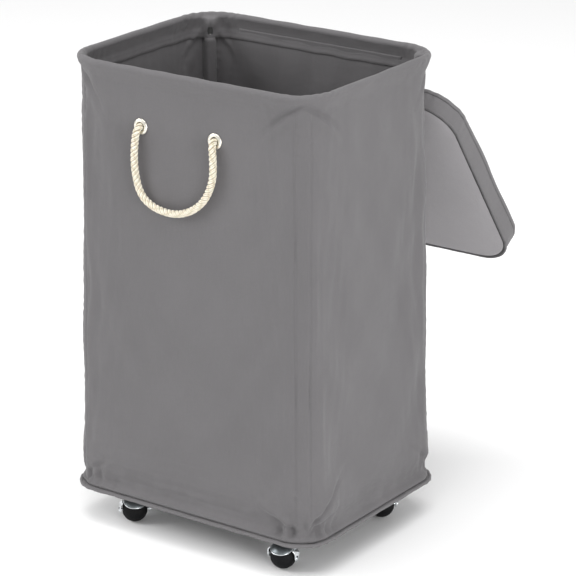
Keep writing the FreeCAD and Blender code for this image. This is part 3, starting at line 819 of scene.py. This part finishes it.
def near_corners(s, seg, share, total):
    """One near the corners and nought along the middle of the flats."""
    value = np.zeros(len(s))
    for segment in CORNER_SEGMENTS.values():
        middle = corner_middle(segment, seg=seg, share=share, s=s)
        ds = np.abs(wrapped(s - middle, total))
        value = np.maximum(value, 1 - smooth(ds, 30, 66))
    return value


def build_welt():
    seg, share, s, total = columns(WELT_HALF, *RING_STEPS)
    wobble = Waves(total, 40.0, 60.0)
    fine = Waves(total, 12.0, 60.0)
    corner = near_corners(s, seg, share, total)
    angles = np.radians(np.arange(0, 360, 22.5))
    profile = [(0.5 + 2.7 * math.cos(a), 2.5 * math.sin(a) - 0.2) for a in angles]

    def ripple(around, index):
        out, up = profile[index]
        swell = (0.12 * fine(around, 0) + 0.2 * corner * fine(around, index * 2.0)) / WELT_R
        return swell * out + 0.25 * wobble(around, 0), swell * up + 0.25 * wobble(around, 20.0)

    def flange_ripple(around, index):
        return 0.2 * wobble(around, 0), 0.2 * wobble(around, 20.0)

    welt, _ = swept("base_welt_piping", WELT_HALF, WELT_Z, profile, ripple, True)
    dress(welt, "hamper_body", PIPING, ["base_welt"])
    # the flange of the piping, sewn in under the wall
    flange = [(0.2, 0.5), (-0.6, 1.5), (-3.0, 1.8), (-6.5, 1.6), (-6.5, -0.8), (-0.6, -0.8)]
    strip, _ = swept("base_welt_flange", WELT_HALF, WELT_Z, flange, flange_ripple, True)
    dress(strip, "hamper_body", PIPING)


def build_corner_seams(points, z):
    """Stitches down both edges of each pole sleeve."""
    for name, segment in CORNER_SEGMENTS.items():
        for side, label in ((-1, "a"), (1, "b")):
            edge = corner_middle(segment, SLEEVE_ANGLE) + side * SLEEVE_HALF
            column = int(np.argmin(np.abs(wrapped(body_s - edge, BODY_TOTAL))))
            here = (z > SEAM_LOW_Z) & (z < SEAM_HIGH_Z)
            path = points[here, column]
            before, after = points[here, column - 1], points[here, (column + 1) % len(body_s)]
            normal = unit(np.cross(after - before, [0, 0, 1.0]))
            path = path + normal * 0.05
            thread = stitches(f"sleeve_stitches_{name}_{label}", path, normal, closed=False)
            dress(thread, "hamper_body", THREAD)


def sleeve_meshes():
    """The cloth strip inside each corner that holds the pole, sewn down both edges."""
    for name in CORNER_SEGMENTS:
        low, high = (Vector(v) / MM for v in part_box(f"pole_sleeve_{name}"))
        side_x = 1 if "right" in name else -1
        side_y = 1 if "back" in name else -1
        angle = math.radians(SLEEVE_ANGLE)
        toward = np.array([side_x * math.cos(angle), side_y * math.sin(angle)])
        across = np.array([-toward[1], toward[0]])
        z = np.arange(low.z, high.z, 6.0)
        wobble = Waves(400.0, 60.0, 70.0)
        turns = np.linspace(-1, 1, 17)
        rows = []
        for height in z:
            half_x, front, back, radius = wall_size(height)
            half_y = front if side_y < 0 else back
            centre = np.array([side_x * (half_x - radius), side_y * (half_y - radius)])
            reach = radius - CLOTH - 1.2
            lift = 11.5 * np.clip(1 - np.abs(turns) ** 2.6, 0, 1)
            width = turns * 9.5
            out = reach - lift + wobble(turns * 50 + 200, height) * 0.35
            spot = centre + toward * out[:, None] * np.cos(width / reach)[:, None]
            spot = spot + across * width[:, None]
            rows.append(np.column_stack([spot, np.full(len(turns), height)]))
        run = np.linspace(0, 26, len(turns))
        strip = grid_object(f"pole_sleeve_cloth_{name}", np.array(rows), run, z, 1e9, wrap=False)
        thicken(strip, 0.7, 0.0)
        dress(strip, "hamper_body", BODY, [f"pole_sleeve_{name}"])


# ---- rope handle ---------------------------------------------------------------------
# the rope's route, as control points of a smooth curve: x, y, z
ROPE_ROUTE = [
    (-75.0, -157.0, 606.0), (-75.2, -166.5, 607.0),
    (-80.0, HANDLE_Y, 585.0), (-81.5, HANDLE_Y, 549.0), (-72.0, HANDLE_Y, 510.5),
    (-42.0, HANDLE_Y, 494.5), (-2.0, HANDLE_Y, 494.5), (34.0, HANDLE_Y, 515.5),
    (52.5, HANDLE_Y, 550.0), (53.0, HANDLE_Y, 584.0),
    (50.2, -166.5, 607.0), (50.0, -157.0, 606.0),
]


def spline_points(route, resolution=24):
    """Points along the smooth curve that a route's control points give."""
    curve = bpy.data.curves.new("route", "CURVE")
    curve.dimensions = "3D"
    spline = curve.splines.new("NURBS")
    spline.points.add(len(route) - 1)
    for point, place in zip(spline.points, route):
        point.co = (*[v * MM for v in place], 1.0)
    spline.order_u = 3
    spline.use_endpoint_u = True
    spline.resolution_u = resolution
    holder = add_to_scene("route", curve)
    bpy.context.view_layer.update()
    mesh = bpy.data.meshes.new_from_object(holder.evaluated_get(bpy.context.evaluated_depsgraph_get()))
    points = np.array([v.co[:] for v in mesh.vertices]) / MM
    bpy.data.objects.remove(holder)
    bpy.data.curves.remove(curve)
    bpy.data.meshes.remove(mesh)
    return points


def resampled(points, step):
    run = run_along(points)
    at = np.linspace(0, run[-1], int(run[-1] / step) + 1)
    return np.column_stack([np.interp(at, run, points[:, k]) for k in range(3)]), at


def rope_mesh(name, line, radius):
    """Twisted strands round a centre line, each with a slight yarn ribbing of its own."""
    line, run = resampled(line, 0.9)
    tangent = unit(np.gradient(line, axis=0))
    normal = np.zeros_like(line)
    guide = np.cross(tangent[0], [0.3, 0.8, 0.5])
    for i, direction in enumerate(tangent):
        guide = guide - direction * guide.dot(direction)
        guide /= np.linalg.norm(guide)
        normal[i] = guide
    side = np.cross(tangent, normal)
    strand_r, helix_r, ring = radius * STRAND_SHARE, radius * (1 - STRAND_SHARE), 18
    points, faces, uv = [], [], []
    for strand in range(ROPE_STRANDS):
        phase = 2 * math.pi * (strand / ROPE_STRANDS + run / ROPE_LAY)
        swell = 1.0 + 0.03 * np.sin(run / 3.1 + strand * 2.0)
        centre = line + helix_r * (np.cos(phase)[:, None] * normal + np.sin(phase)[:, None] * side)
        out = unit(centre - line)
        across = np.cross(unit(np.gradient(centre, axis=0)), out)
        first = len(points)
        for i in range(len(line)):
            for turn in range(ring):
                angle = 2 * math.pi * turn / ring
                rib = 1 + 0.035 * math.cos(6 * angle - run[i] * 1.1)
                size = strand_r * swell[i] * rib
                around = math.cos(angle) * out[i] + 1.04 * math.sin(angle) * across[i]
                points.append(centre[i] + size * around)
                uv.append((turn / ring * 2 * math.pi * strand_r, run[i]))
        faces += grid_faces(len(line), ring, True, False, first)
        last = first + (len(line) - 1) * ring
        faces.append(tuple(first + t for t in range(ring)))
        faces.append(tuple(last + t for t in reversed(range(ring))))
    return mesh_object(name, points, faces, uv)


def knot_line(x):
    """An overhand knot inside the wall, where the rope has come through its eyelet."""
    centre = np.array([x, -143.0, GROMMET_Z - 2.0])
    t = np.linspace(0.35, 2 * math.pi - 0.15, 90)
    loop = np.column_stack([np.sin(t) + 2 * np.sin(2 * t), -np.sin(3 * t) * 1.5,
                            np.cos(t) - 2 * np.cos(2 * t)])
    loop = loop * [3.6, 3.4, 3.6] + centre
    lead = np.array([[x, -158.5, GROMMET_Z], [x, -153.0, GROMMET_Z]])
    tail = loop[-1] + np.outer(np.linspace(0.2, 1, 5), [2.0, 3.0, -16.0])
    control = np.vstack([lead, loop[::6], tail])
    return spline_points([tuple(p) for p in control], 12)


def build_handle():
    line = spline_points(ROPE_ROUTE)
    rope = rope_mesh("rope_handle_cotton", line, ROPE_R)
    for x, side in zip(GROMMET_X, ("left", "right")):
        knot = rope_mesh(f"rope_knot_{side}", knot_line(x), ROPE_R * 0.96)
        dress(knot, "hamper_body", ROPE, [f"rope_end_{side}"])
        build_eyelet(x, side)
    rope.data.materials.append(ROPE)
    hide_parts("rope_handle")
    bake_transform(rope)


def lathe(name, profile, steps=64, closed=False):
    """Turns (radius, height) pairs round the Z axis."""
    count = len(profile)
    points, faces = [], []
    for k in range(steps):
        angle = 2 * math.pi * k / steps
        points += [(r * math.cos(angle), r * math.sin(angle), h) for r, h in profile]
    for k in range(steps):
        a, b = k * count, ((k + 1) % steps) * count
        for j in range(count if closed else count - 1):
            n = (j + 1) % count
            faces.append((a + j, b + j, b + n, a + n))
    return mesh_object(name, points, faces)


def place(thing, matrix):
    thing.data.transform(matrix)
    return thing


def build_eyelet(x, side):
    """A rolled brass-plated eyelet round the rope."""
    profile = [(5.9, -4.0), (5.85, -1.0), (5.95, 0.4), (6.3, 1.3), (7.0, 1.9), (8.1, 2.2),
               (9.3, 2.0), (10.5, 1.4), (11.3, 0.6), (11.4, 0.0), (10.8, -0.3), (8.6, 0.0),
               (7.4, -0.2), (7.1, -1.0), (7.1, -4.0)]
    eyelet = lathe(f"eyelet_{side}", profile, 72, closed=True)
    spot = Matrix.Translation(Vector((x, GROMMET_FACE_Y, GROMMET_Z)) * MM)
    place(eyelet, spot @ Matrix.Rotation(math.radians(90), 4, "X"))
    dress(eyelet, "hamper_body", EYELET, ["grommets"])


# ---- lid -----------------------------------------------------------------------------
lid_joint = joints["lid_hinge"]
LID_PIVOT = Vector(lid_joint["pos_m"])
LID_OPEN = math.radians(max(lid_joint["range_deg"]))
OPENED = (Matrix.Translation(LID_PIVOT) @ Matrix.Rotation(-LID_OPEN, 4, "X")
          @ Matrix.Translation(-LID_PIVOT))  # from the closed place, where the lid is made
HEM_LINE, HEM_FOLD_R = 6.4, 0.75  # height of the hem's inner edge above the skirt's free edge
HINGE_TUCK = 4.0  # how far the skirt's free edge draws in at the hinge-side corners
BINDING_SUNK = 2.0  # along the front edge, where the cover hides the binding
PIPING_R = 1.9


def shrunk(size, inset):
    return tuple(v - inset for v in size)


def dress_lid(thing, material, replaces=()):
    """Swings a piece of the lid, which is made closed, to its open place and dresses it."""
    return dress(place(thing, OPENED), "lid", material, replaces)


PANEL_INSETS = (0, 1, 2.5, 5, 8, 12, 17, 23, 30, 38, 47, 57, 68, 80, 93, 107, 122, 138, 152, 162)


def lid_panel(name, size, z_of, thick, up):
    """A cloth panel that covers the lid from edge to edge, made of shrinking outlines."""
    seg, share, s, _ = columns(size, 7.0, 4.0)
    flat, _ = outline(seg, share, size)
    rows = []
    for inset in PANEL_INSETS:
        scale = np.array([1 - inset / size[0], 1 - inset / size[1]])
        spot = flat * scale
        rows.append(np.column_stack([spot, z_of(spot[:, 0], spot[:, 1], inset)]))
    cols = len(s)
    faces = grid_faces(len(rows), cols)
    first = (len(rows) - 1) * cols
    points = np.vstack(rows)
    centre = len(points)
    points = np.vstack([points, points[first:].mean(0)])
    faces += [(first + c, first + (c + 1) % cols, centre) for c in range(cols)]
    panel = mesh_object(name, points, faces, points[:, :2])
    if not up:
        flip(panel)
    thicken(panel, thick)
    return panel


def build_lid():
    swell = Waves(1500.0, 150.0, 150.0)
    fine = Waves(1500.0, 55.0, 60.0)

    def top(x, y, inset):
        edge = smooth(inset, 0, 2.6)
        draw = 1 - smooth(inset, 6, 60)
        waves = np.maximum(0.35 + 0.4 * swell(x, y) + 0.3 * draw * fine(x, y), 0)
        return LID_TOP_Z - 1.6 + 1.9 * edge + smooth(inset, 3, 12) * waves

    def under(x, y, inset):
        waves = np.maximum(0.6 + 0.5 * swell(x + 400, y) + 0.3 * fine(x, y + 90), 0)
        return LID_LINING_Z - smooth(inset, 22, 50) * waves

    cover = lid_panel("lid_cover_cloth", shrunk(LID_HALF, 1.2), top, 0.7, True)
    dress_lid(cover, COVER_PAINTED_LIGHT, ["lid_cover"])
    lining = lid_panel("lid_lining_cloth", shrunk(LID_HALF, 2.2), under, 0.6, False)
    dress_lid(lining, LINING, ["lid_lining"])

    seg, share, s, total = columns(LID_HALF, *RING_STEPS)
    corner = near_corners(s, seg, share, total)
    pucker = Waves(total, 16.0, 40.0, 16)
    long_wave = Waves(total, 130.0, 80.0)
    # down the outside of the skirt, round its hem and up inside it
    profile = [(-0.9, 32.2), (-0.1, 31.0), (0.1, 28.0), (0.2, 22.0), (0.3, 15.0), (0.5, 9.0),
               (0.5, 7.6), (-0.55, 6.8), (-0.6, 6.0), (0.5, 5.2), (0.6, 3.5), (0.5, 1.2),
               (0.0, 0.2), (-0.7, 0.2), (-1.2, 1.2), (-1.4, 5.0), (-1.5, 9.0), (-1.45, 9.8)]
    above_hem, in_groove = 6, 7  # rows of the profile

    hinge_side = [corner_middle(segment, seg=seg, share=share, s=s) for segment in (1, 3)]
    tuck = sum(HINGE_TUCK * bell(wrapped(s - middle, total), 48.0) for middle in hinge_side)

    def ripple(around, index):
        low = 1 - min(profile[index][1] / 31.0, 1.0)
        waves = 0.9 * long_wave(around, 0) + 0.35 * corner * pucker(around, low * 8)
        out = -low * tuck + low * waves
        out = out + (0.25 * corner + 0.1) * pucker(around, index * 1.5) * 0.5
        return out, 0.25 * low * long_wave(around, 30.0)

    skirt, points = swept("lid_skirt_cloth", LID_HALF, LID_LOW_Z, profile, ripple)
    flip(skirt)
    thicken(skirt, 0.7)
    dress_lid(skirt, LID, ["lid_skirt", "lid_hem_tape"])
    _, normal = outline(seg, share, LID_HALF)
    outward = np.column_stack([normal, np.zeros(len(s))])
    hem = stitches("lid_hem_stitches", points[above_hem] + outward * 0.1, outward)
    dress_lid(hem, THREAD)

    # folded edge of the hem, lying in the groove round the skirt; its dark colour is painted shade for
    # the shadow line along the hem
    groove = [(HEM_FOLD_R * math.cos(a) - 0.5, HEM_LINE + HEM_FOLD_R * math.sin(a))
              for a in np.radians(np.arange(0, 360, 45))]

    def fold_ripple(around, index):
        return ripple(around, in_groove)

    folded, _ = swept("lid_hem_fold_shadow_line", LID_HALF, LID_LOW_Z, groove, fold_ripple, True)
    dress_lid(folded, BINDING_PAINTED_SHADE)

    # binding sewn beside the piping, along the edge of the cover; its dark colour is painted shade for
    # the shadow gap between cover and skirt
    edging = [(-3.1 + 1.15 * math.cos(a), LID_TOP_Z - LID_LOW_Z - 0.2 + 0.9 * math.sin(a))
              for a in np.radians(np.arange(180, -1, -22.5))]
    along_front = smooth(share, 0, 0.06) * (1 - smooth(share, 0.94, 1))
    sunk = BINDING_SUNK * np.where(seg == FRONT_SEGMENT, along_front, 0)

    def binding_ripple(around, index):
        return 0.15 * pucker(around, 3.0), 0.1 * pucker(around, 9.0) - sunk

    binding, _ = swept("lid_seam_binding_shadow_line", LID_HALF, LID_LOW_Z, edging, binding_ripple)
    dress_lid(binding, BINDING_PAINTED_SHADE)

    cord = [(PIPING_R * math.cos(a), PIPING_R * math.sin(a))
            for a in np.radians(np.arange(0, 360, 30))]
    fine_ring = Waves(total, 14.0, 40.0)

    def cord_ripple(around, index):
        return 0.12 * fine_ring(around, index * 1.0), 0.12 * fine_ring(around, 20.0 + index)

    piping, _ = swept("lid_piping_cord", shrunk(LID_HALF, 0.1), LID_TOP_Z - 0.9, cord,
                      cord_ripple, True)
    dress_lid(piping, PIPING, ["lid_piping"])


def build_flap():
    """The strip of cloth the lid hangs from, sewn under the rim and to the skirt's edge."""
    low, high = (Vector(v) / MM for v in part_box("hinge_flap_body"))
    pivot = LID_PIVOT / MM
    skirt_low = Vector(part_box("hinge_flap_lid")[0]) / MM
    half = high.x
    route = [(low.y + 1.0, 668.0), (low.y + 1.3, 660.0), (low.y + 3.5, 654.0),
             (low.y + 14.0, 651.0), (pivot.y - 3.5, pivot.z + 2.5), (pivot.y - 0.2, pivot.z - 5.0),
             (skirt_low.y + 1.0, skirt_low.z + 8.0), (skirt_low.y + 1.6, skirt_low.z - 1.0),
             (skirt_low.y + 5.4, skirt_low.z - 7.0)]
    line = spline_points([(0.0, y, z) for y, z in route], 8)
    x = np.arange(-half, half + 0.1, 4.0)
    sag = Waves(1000.0, 60.0, 60.0)
    rows = []
    for index, (_, y, z) in enumerate(line):
        loose = math.sin(math.pi * index / (len(line) - 1))
        bump = loose * 0.7 * sag(x, index * 2.0)
        rows.append(np.column_stack([x, y + bump, z + bump * 0.5]))
    points = np.array(rows)
    run = run_along(line)
    flap = grid_object("hinge_flap_cloth", points, x, run, 1e9, wrap=False)
    thicken(flap, 0.9, 0.0)
    flap.data.materials.append(BODY)
    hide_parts("hinge_flap_body", "hinge_flap_lid")
    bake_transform(flap)


# ---- casters -------------------------------------------------------------------------
wheel_place, swivel_place = (joints[f"{kind}_front_left"]["pos_m"] for kind in ("roll", "swivel"))
WHEEL_R = AXLE_Z = wheel_place[2] / MM
TRAIL = math.dist(wheel_place[:2], swivel_place[:2]) / MM
HOOD_R, HOOD_THICK = WHEEL_R + 2.4, 1.5
LIP_R = 0.8
RING_PITCH, RING_DEPTH = 7.35, 0.22  # of the rings turned in the wheel, in degrees and mm
WHEEL_HALF_WIDTH = WHEEL_R - 0.7
EAR_Y, EAR_HALF_THICK = WHEEL_R + 2.5, 0.9


def on_hood(radius, turn, rise):
    """A point of the hood's ball, by the angle round from the trailing side and its height."""
    return (TRAIL + radius * math.cos(rise) * math.cos(turn),
            radius * math.cos(rise) * math.sin(turn), AXLE_Z + radius * math.sin(rise))


def hood_lip(turn):
    """Height angle of the hood's lower edge, by the angle from the trailing side."""
    side = abs(math.sin(turn))
    front = 24.0 if math.cos(turn) > 0 else 34.0
    return math.radians(front + 16.0 * side**3)


def build_caster(name):
    joint = joints[f"roll_{name}"]
    axis = Vector(joint["axis"]).normalized()
    wheel_at = Vector(joint["pos_m"])
    swivel_at = Vector(joints[f"swivel_{name}"]["pos_m"])
    trail = Vector((wheel_at.x - swivel_at.x, wheel_at.y - swivel_at.y, 0)).normalized()
    angle = math.atan2(trail.y, trail.x)
    to_place = Matrix.Translation(Vector((swivel_at.x, swivel_at.y, 0))) @ Matrix.Rotation(angle, 4, "Z")
    body = f"caster_{name}"

    # hood: part of a ball shell, thick, with a rounded lip
    turns, rises = 72, 14
    points, faces = [], []
    for shell in (HOOD_R + HOOD_THICK / 2, HOOD_R - HOOD_THICK / 2):
        for k in range(turns):
            turn = 2 * math.pi * k / turns
            low = hood_lip(turn)
            for j in range(rises):
                rise = low + (math.pi / 2 - low) * j / (rises - 1) * 0.995
                points.append(on_hood(shell, turn, rise))
    half = turns * rises
    for k in range(turns):
        a, b = k * rises, ((k + 1) % turns) * rises
        for j in range(rises - 1):
            faces.append((a + j, b + j, b + j + 1, a + j + 1))
            faces.append((half + a + j, half + a + j + 1, half + b + j + 1, half + b + j))
        faces.append((a, half + a, half + b, b))
    faces.append(tuple(k * rises + rises - 1 for k in range(turns)))
    faces.append(tuple(half + k * rises + rises - 1 for k in reversed(range(turns))))
    hood = mesh_object(f"caster_hood_{name}", points, faces)

    # rolled bead along the lip
    around = [2 * math.pi * k / turns for k in range(turns)]
    path = np.array([on_hood(HOOD_R, turn, hood_lip(turn)) for turn in around])
    tangent = unit(np.roll(path, -1, 0) - np.roll(path, 1, 0))
    outward = unit(path - [TRAIL, 0, AXLE_Z])
    side = np.cross(tangent, outward)
    ring = np.linspace(0, 2 * math.pi, 12, endpoint=False)
    bead = np.array([path + LIP_R * (math.cos(a) * outward + math.sin(a) * side) for a in ring])
    bead_thing = mesh_object(f"caster_lip_{name}", bead.reshape(-1, 3), grid_faces(12, turns, True, True))

    # two ears with rounded tips, joined to the hood by a shoulder
    parts = [hood, bead_thing]
    for sign, label in ((-1, "a"), (1, "b")):
        outline_points = [(-6.8, 12.0), (-6.0, 7.0), (-5.4, 2.0)]
        outline_points += [(-5.4 * math.cos(t), -5.4 * math.sin(t))
                           for t in np.linspace(0.2, math.pi - 0.2, 12)]
        outline_points += [(5.4, 2.0), (6.0, 7.0), (6.8, 12.0)]
        lean = [sign * (EAR_Y - 3.8 * smooth(h, 6.0, 12.5)) for _, h in outline_points]
        front, back = ([(TRAIL + x, y + face * EAR_HALF_THICK, AXLE_Z + h)
                        for (x, h), y in zip(outline_points, lean)] for face in (sign, -sign))
        count = len(front)
        ear_faces = [tuple(range(count)), tuple(reversed(range(count, 2 * count)))]
        ear_faces += [(k, k + count, (k + 1) % count + count, (k + 1) % count) for k in range(count)]
        ear = mesh_object(f"caster_ear_{name}_{label}", front + back, ear_faces, smooth_faces=False)
        mesh = bmesh.new()
        mesh.from_mesh(ear.data)
        bmesh.ops.recalc_face_normals(mesh, faces=mesh.faces)
        mesh.to_mesh(ear.data)
        mesh.free()
        round_edges = ear.modifiers.new("rounded", "BEVEL")
        round_edges.width = 0.45 * MM
        round_edges.segments = 3
        parts.append(ear)
        rivet = lathe(f"caster_rivet_{name}_{label}",
                      [(3.5, 0.0), (3.4, 0.7), (2.9, 1.2), (1.8, 1.55), (0.05, 1.7)], 32)
        place(rivet, Matrix.Translation(Vector((TRAIL, sign * (EAR_Y + EAR_HALF_THICK), AXLE_Z)) * MM)
              @ Matrix.Rotation(-sign * math.pi / 2, 4, "X"))
        parts.append(rivet)
    boss = [(3.1, 33.4), (8.2, 33.4), (8.8, 33.8), (9.0, 34.6), (9.0, 43.0), (9.6, 44.2),
            (9.8, 45.6), (9.4, 46.3), (8.8, 46.5), (3.1, 46.5)]
    parts.append(lathe(f"caster_boss_{name}", boss, 48, closed=True))
    neck = bpy.data.meshes.new("neck")
    mesh = bmesh.new()
    bmesh.ops.create_cube(mesh, size=1.0)
    bmesh.ops.scale(mesh, vec=Vector((TRAIL - 7.0, 15.0, 5.0)) * MM, verts=mesh.verts)
    bmesh.ops.translate(mesh, vec=Vector((TRAIL / 2 - 1.0, 0, 36.5)) * MM, verts=mesh.verts)
    bmesh.ops.bevel(mesh, geom=list(mesh.edges), offset=1.2 * MM, segments=3, affect="EDGES")
    mesh.to_mesh(neck)
    mesh.free()
    parts.append(add_to_scene(f"caster_neck_{name}", neck))
    for part in parts:
        place(part, to_place)
        nodes = [f"caster_fork_{name}"] if part is hood else ()
        dress(part, body, HOOD_STEEL if part is hood else ZINC, nodes)

    # ball wheel with fine turned rings and a recessed hub
    profile = []
    for turn in np.radians(np.arange(-73.5, 73.6, 1.5)):
        wave = math.cos(turn * 2 * math.pi / math.radians(RING_PITCH))
        groove = RING_DEPTH * (0.5 + 0.5 * wave)
        radius = WHEEL_R - (groove if abs(turn) > math.radians(4) else 0.0)
        profile.append((radius * math.cos(turn), radius * math.sin(turn)))
    edge = profile[-1][0]
    hub = [(edge * 0.86, 0.0), (edge * 0.8, 0.8), (3.6, 1.0), (3.2, 0.2), (2.1, 0.2)]
    cap = [(r, WHEEL_HALF_WIDTH - inset) for r, inset in hub]
    profile = [(r, -h) for r, h in reversed(cap)] + profile + cap
    wheel = lathe(f"ball_wheel_{name}", profile, 96)
    turn = Vector((0, 0, 1)).rotation_difference(axis).to_matrix().to_4x4()
    place(wheel, Matrix.Translation(wheel_at) @ turn)
    dress(wheel, f"wheel_{name}", BLACK, [f"caster_wheel_{name}"])
    for node in (f"caster_axle_{name}", f"caster_kingpin_{name}", f"caster_plate_{name}"):
        recolor(node, ZINC)


# ---- carried-over CAD pieces ---------------------------------------------------------
def dress_cad():
    looks = {
        "rim_wire": WIRE, "base_wire": WIRE, "base_board": HARDBOARD, "lid_board": HARDBOARD,
        "base_cloth": CAD_CLOTH, "pole_caps": CAP, "grommet_washers": EYELET, "caster_screws": ZINC,
    }
    for name in CORNER_SEGMENTS:
        looks[f"corner_pole_{name}"] = POLE
    for node, material in looks.items():
        recolor(node, material)


# ---- studio --------------------------------------------------------------------------
FLOOR_HALF = 8.0
LIGHT_AIM = Vector((0, 0, 0.35))
LIGHTS = (  # name, place, size in metres, power in watts
    ("key", (-2.9, -2.4, 2.4), 1.8, 100.0),
    ("side", (3.3, -1.4, 0.7), 1.8, 80.0),
    ("top", (0.6, -0.4, 4.2), 3.6, 125.0),
)


def build_studio():
    floor_mesh = bpy.data.meshes.new("floor")
    corners = [(x * FLOOR_HALF, y * FLOOR_HALF, 0) for x, y in ((-1, -1), (1, -1), (1, 1), (-1, 1))]
    floor_mesh.from_pydata(corners, [], [(0, 1, 2, 3)])
    floor = add_to_scene("floor", floor_mesh)
    floor.data.materials.append(plain_material("pale_floor", (0.9, 0.9, 0.9), 0.9))
    world = bpy.data.worlds.new("studio")
    bpy.context.scene.world = world
    world.use_nodes = True
    background = world.node_tree.nodes["Background"].inputs
    background["Color"].default_value = (1.0, 1.0, 1.0, 1.0)
    background["Strength"].default_value = 0.7
    for name, place_at, size, power in LIGHTS:
        light = bpy.data.lights.new(name, "AREA")
        light.size = size
        light.energy = power
        lamp = add_to_scene(name, light)
        lamp.location = place_at
        aim = LIGHT_AIM - Vector(place_at)
        lamp.rotation_euler = aim.to_track_quat("-Z", "Y").to_euler()


CAMERA_AZIMUTH, CAMERA_ELEVATION = math.radians(35.25), math.radians(19.36)
CAMERA_DISTANCE, CAMERA_LENS = 3.981, 176.2
CAMERA_RIGHT, CAMERA_UP = 0.0466, -0.0231
CAMERA_AIM_Z = 0.368


def build_camera():
    sin_a, cos_a = math.sin(CAMERA_AZIMUTH), math.cos(CAMERA_AZIMUTH)
    sin_e, cos_e = math.sin(CAMERA_ELEVATION), math.cos(CAMERA_ELEVATION)
    back = Vector((sin_a * cos_e, -cos_a * cos_e, sin_e))
    right = Vector((cos_a, sin_a, 0))
    up = back.cross(right)
    data = bpy.data.cameras.new("camera")
    data.lens = CAMERA_LENS
    data.clip_end = 50.0
    camera = add_to_scene("camera", data)
    spot = back * CAMERA_DISTANCE + right * CAMERA_RIGHT + up * CAMERA_UP + Vector((0, 0, CAMERA_AIM_Z))
    turn = Matrix((right, up, back)).transposed().to_4x4()
    camera.matrix_world = Matrix.Translation(spot) @ turn
    bpy.context.scene.camera = camera


build_camera()
build_handle()
body_points, body_z = build_body()
build_welt()
build_corner_seams(body_points, body_z)
sleeve_meshes()
build_lid()
build_flap()
for caster in CORNER_SEGMENTS:
    build_caster(caster)
dress_cad()
build_studio()
bpy.context.scene.view_settings.view_transform = "Standard"
